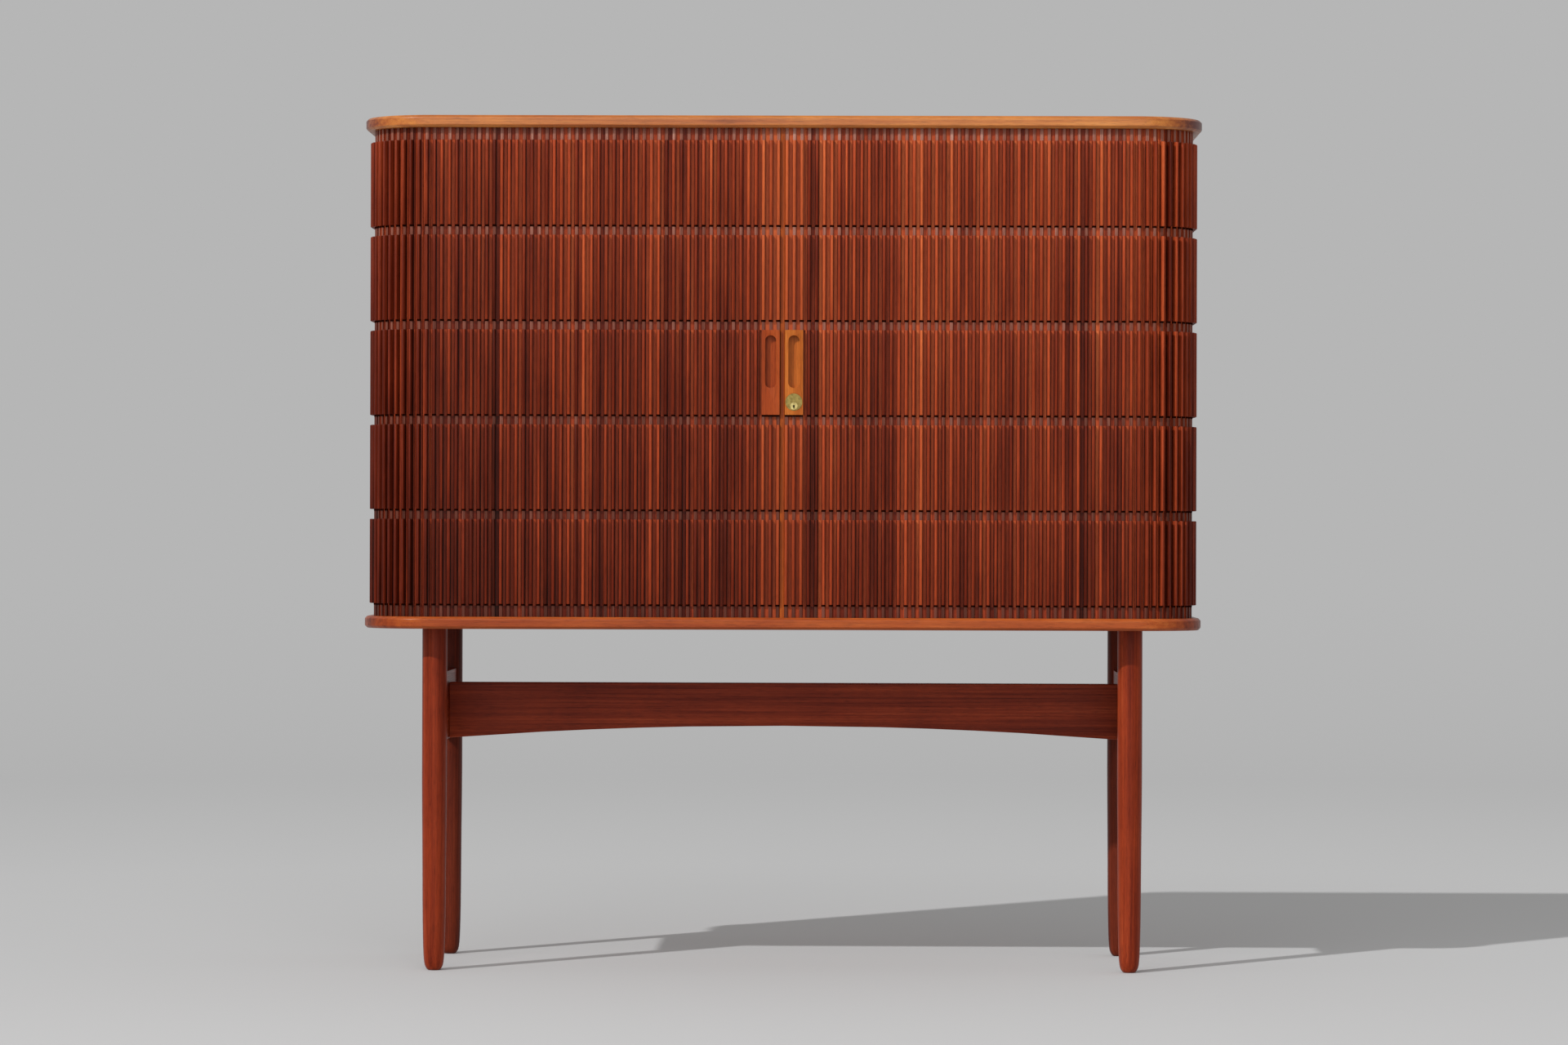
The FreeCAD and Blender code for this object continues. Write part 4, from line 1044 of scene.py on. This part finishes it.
def floor_paper():
    """Pale paper that fades into the background far from the object."""
    shader = Shader("floor_paper")
    vector = shader.coordinates()
    length = shader.node("ShaderNodeVectorMath", operation="LENGTH")
    shader.link(vector, length.inputs[0])
    distance = length.outputs["Value"]
    fade = shader.spread(distance, FADE_START, FADE_END)
    tooth = shader.noise(vector, along("x", *TOOTH_WAVES), roughness=TOOTH_ROUGHNESS)
    tones = [grey(share) for share in PAPER_SHARES]
    shader.paint(shader.ramp(tooth, list(zip(MIDDLE_SHARES, tones))))
    shader.surface.inputs["Roughness"].default_value = PAPER_ROUGHNESS
    shader.surface.inputs["Specular IOR Level"].default_value = PAPER_SPECULAR
    far_light = shader.node("ShaderNodeEmission")
    nearness = shader.math("DIVIDE", 1, distance)
    horizon = shader.spread(nearness, 1 / HORIZON_START, 1 / FLOOR_REACH)
    shader.link(shader.ramp(horizon, [(0, FAR_FLOOR), (1, BACKGROUND)]), far_light.inputs["Color"])
    join = shader.node("ShaderNodeMixShader")
    shader.link(shader.math("MULTIPLY", fade, seen_rays(shader.tree)), join.inputs["Fac"])
    shader.link(shader.surface.outputs["BSDF"], join.inputs[1])
    shader.link(far_light.outputs["Emission"], join.inputs[2])
    shader.link(join.outputs["Shader"], shader.tree.nodes["Material Output"].inputs["Surface"])
    return shader.material


def lay_floor():
    """A wide floor, which isn't part of the object."""
    corner_signs = ((-1, -1), (1, -1), (1, 1), (-1, 1))
    points = [(x * FLOOR_REACH, y * FLOOR_REACH, 0) for x, y in corner_signs]
    mesh = new_mesh("floor", points, [(0, 1, 2, 3)])
    floor = bpy.data.objects.new("floor", mesh)
    bpy.context.scene.collection.objects.link(floor)
    mesh.materials.append(floor_paper())


def light_world():
    """Even soft light from all round, and the background that is seen."""
    world = bpy.data.worlds.new("studio")
    bpy.context.scene.world = world
    world.use_nodes = True
    tree = world.node_tree
    tree.nodes.clear()
    background_light = tree.nodes.new("ShaderNodeBackground")
    background_light.inputs["Color"].default_value = BACKGROUND
    soft_light = tree.nodes.new("ShaderNodeBackground")
    soft_light.inputs["Color"].default_value = grey(AMBIENT_SHARE)
    join = tree.nodes.new("ShaderNodeMixShader")
    tree.links.new(seen_rays(tree), join.inputs["Fac"])
    tree.links.new(soft_light.outputs["Background"], join.inputs[1])
    tree.links.new(background_light.outputs["Background"], join.inputs[2])
    output = tree.nodes.new("ShaderNodeOutputWorld")
    tree.links.new(join.outputs["Shader"], output.inputs["Surface"])


lay_floor()
light_world()


# Lamps, in metres, watts and degrees

AIM = Vector((0, -0.2, 0.85))
KEY_TRAVEL = Vector((0.312, 0.361, -0.324))
KEY_DISTANCE = 10
KEY_STRENGTH = 0.75 * math.pi
KEY_ANGLE = 1.2
SOFTBOXES = {
    "front_softbox": {"place": (0.2, -8.3, 2.8), "width": 8.4, "height": 4.8, "watts": 130},
    "overhead_softbox": {"place": (-0.5, -2.2, 2.6), "width": 1.4, "height": 1, "watts": 14},
}


def hang(name, light, place):
    """A lamp that looks at the object and that the camera doesn't see."""
    lamp = bpy.data.objects.new(name, light)
    lamp.location = place
    lamp.rotation_euler = (AIM - Vector(place)).to_track_quat("-Z", "Y").to_euler()
    lamp.visible_camera = False
    bpy.context.scene.collection.objects.link(lamp)


def softbox(name, place, width, height, watts):
    light = bpy.data.lights.new(name, "AREA")
    light.shape = "RECTANGLE"
    light.size = width
    light.size_y = height
    light.energy = watts
    hang(name, light, place)


key = bpy.data.lights.new("key_light", "SUN")
key.energy = KEY_STRENGTH
key.angle = math.radians(KEY_ANGLE)
hang("key_light", key, AIM - KEY_DISTANCE * KEY_TRAVEL)
for name, settings in SOFTBOXES.items():
    softbox(name, **settings)


# The photograph's camera, worked out from the legs' perspective, in metres, degrees and pixels

CAMERA_PLACE = (0.0996, -7.726, 0.619)
CAMERA_YAW = 0.737
CAMERA_PITCH = 90.099
CAMERA_ROLL = 0.17
FOCAL_PIXELS = 6588
IMAGE_WIDTH = 1920
SENSOR_WIDTH = 36
CLIP_END = 200

camera_data = bpy.data.cameras.new("camera")
camera_data.sensor_width = SENSOR_WIDTH
camera_data.lens = FOCAL_PIXELS / IMAGE_WIDTH * SENSOR_WIDTH
camera_data.clip_end = CLIP_END
camera = bpy.data.objects.new("camera", camera_data)
yaw = Matrix.Rotation(math.radians(CAMERA_YAW), 4, "Z")
pitch = Matrix.Rotation(math.radians(CAMERA_PITCH), 4, "X")
roll = Matrix.Rotation(math.radians(CAMERA_ROLL), 4, "Z")
camera.matrix_world = Matrix.Translation(CAMERA_PLACE) @ yaw @ pitch @ roll
bpy.context.scene.collection.objects.link(camera)
bpy.context.scene.camera = camera
bpy.context.scene.view_settings.view_transform = "Standard"
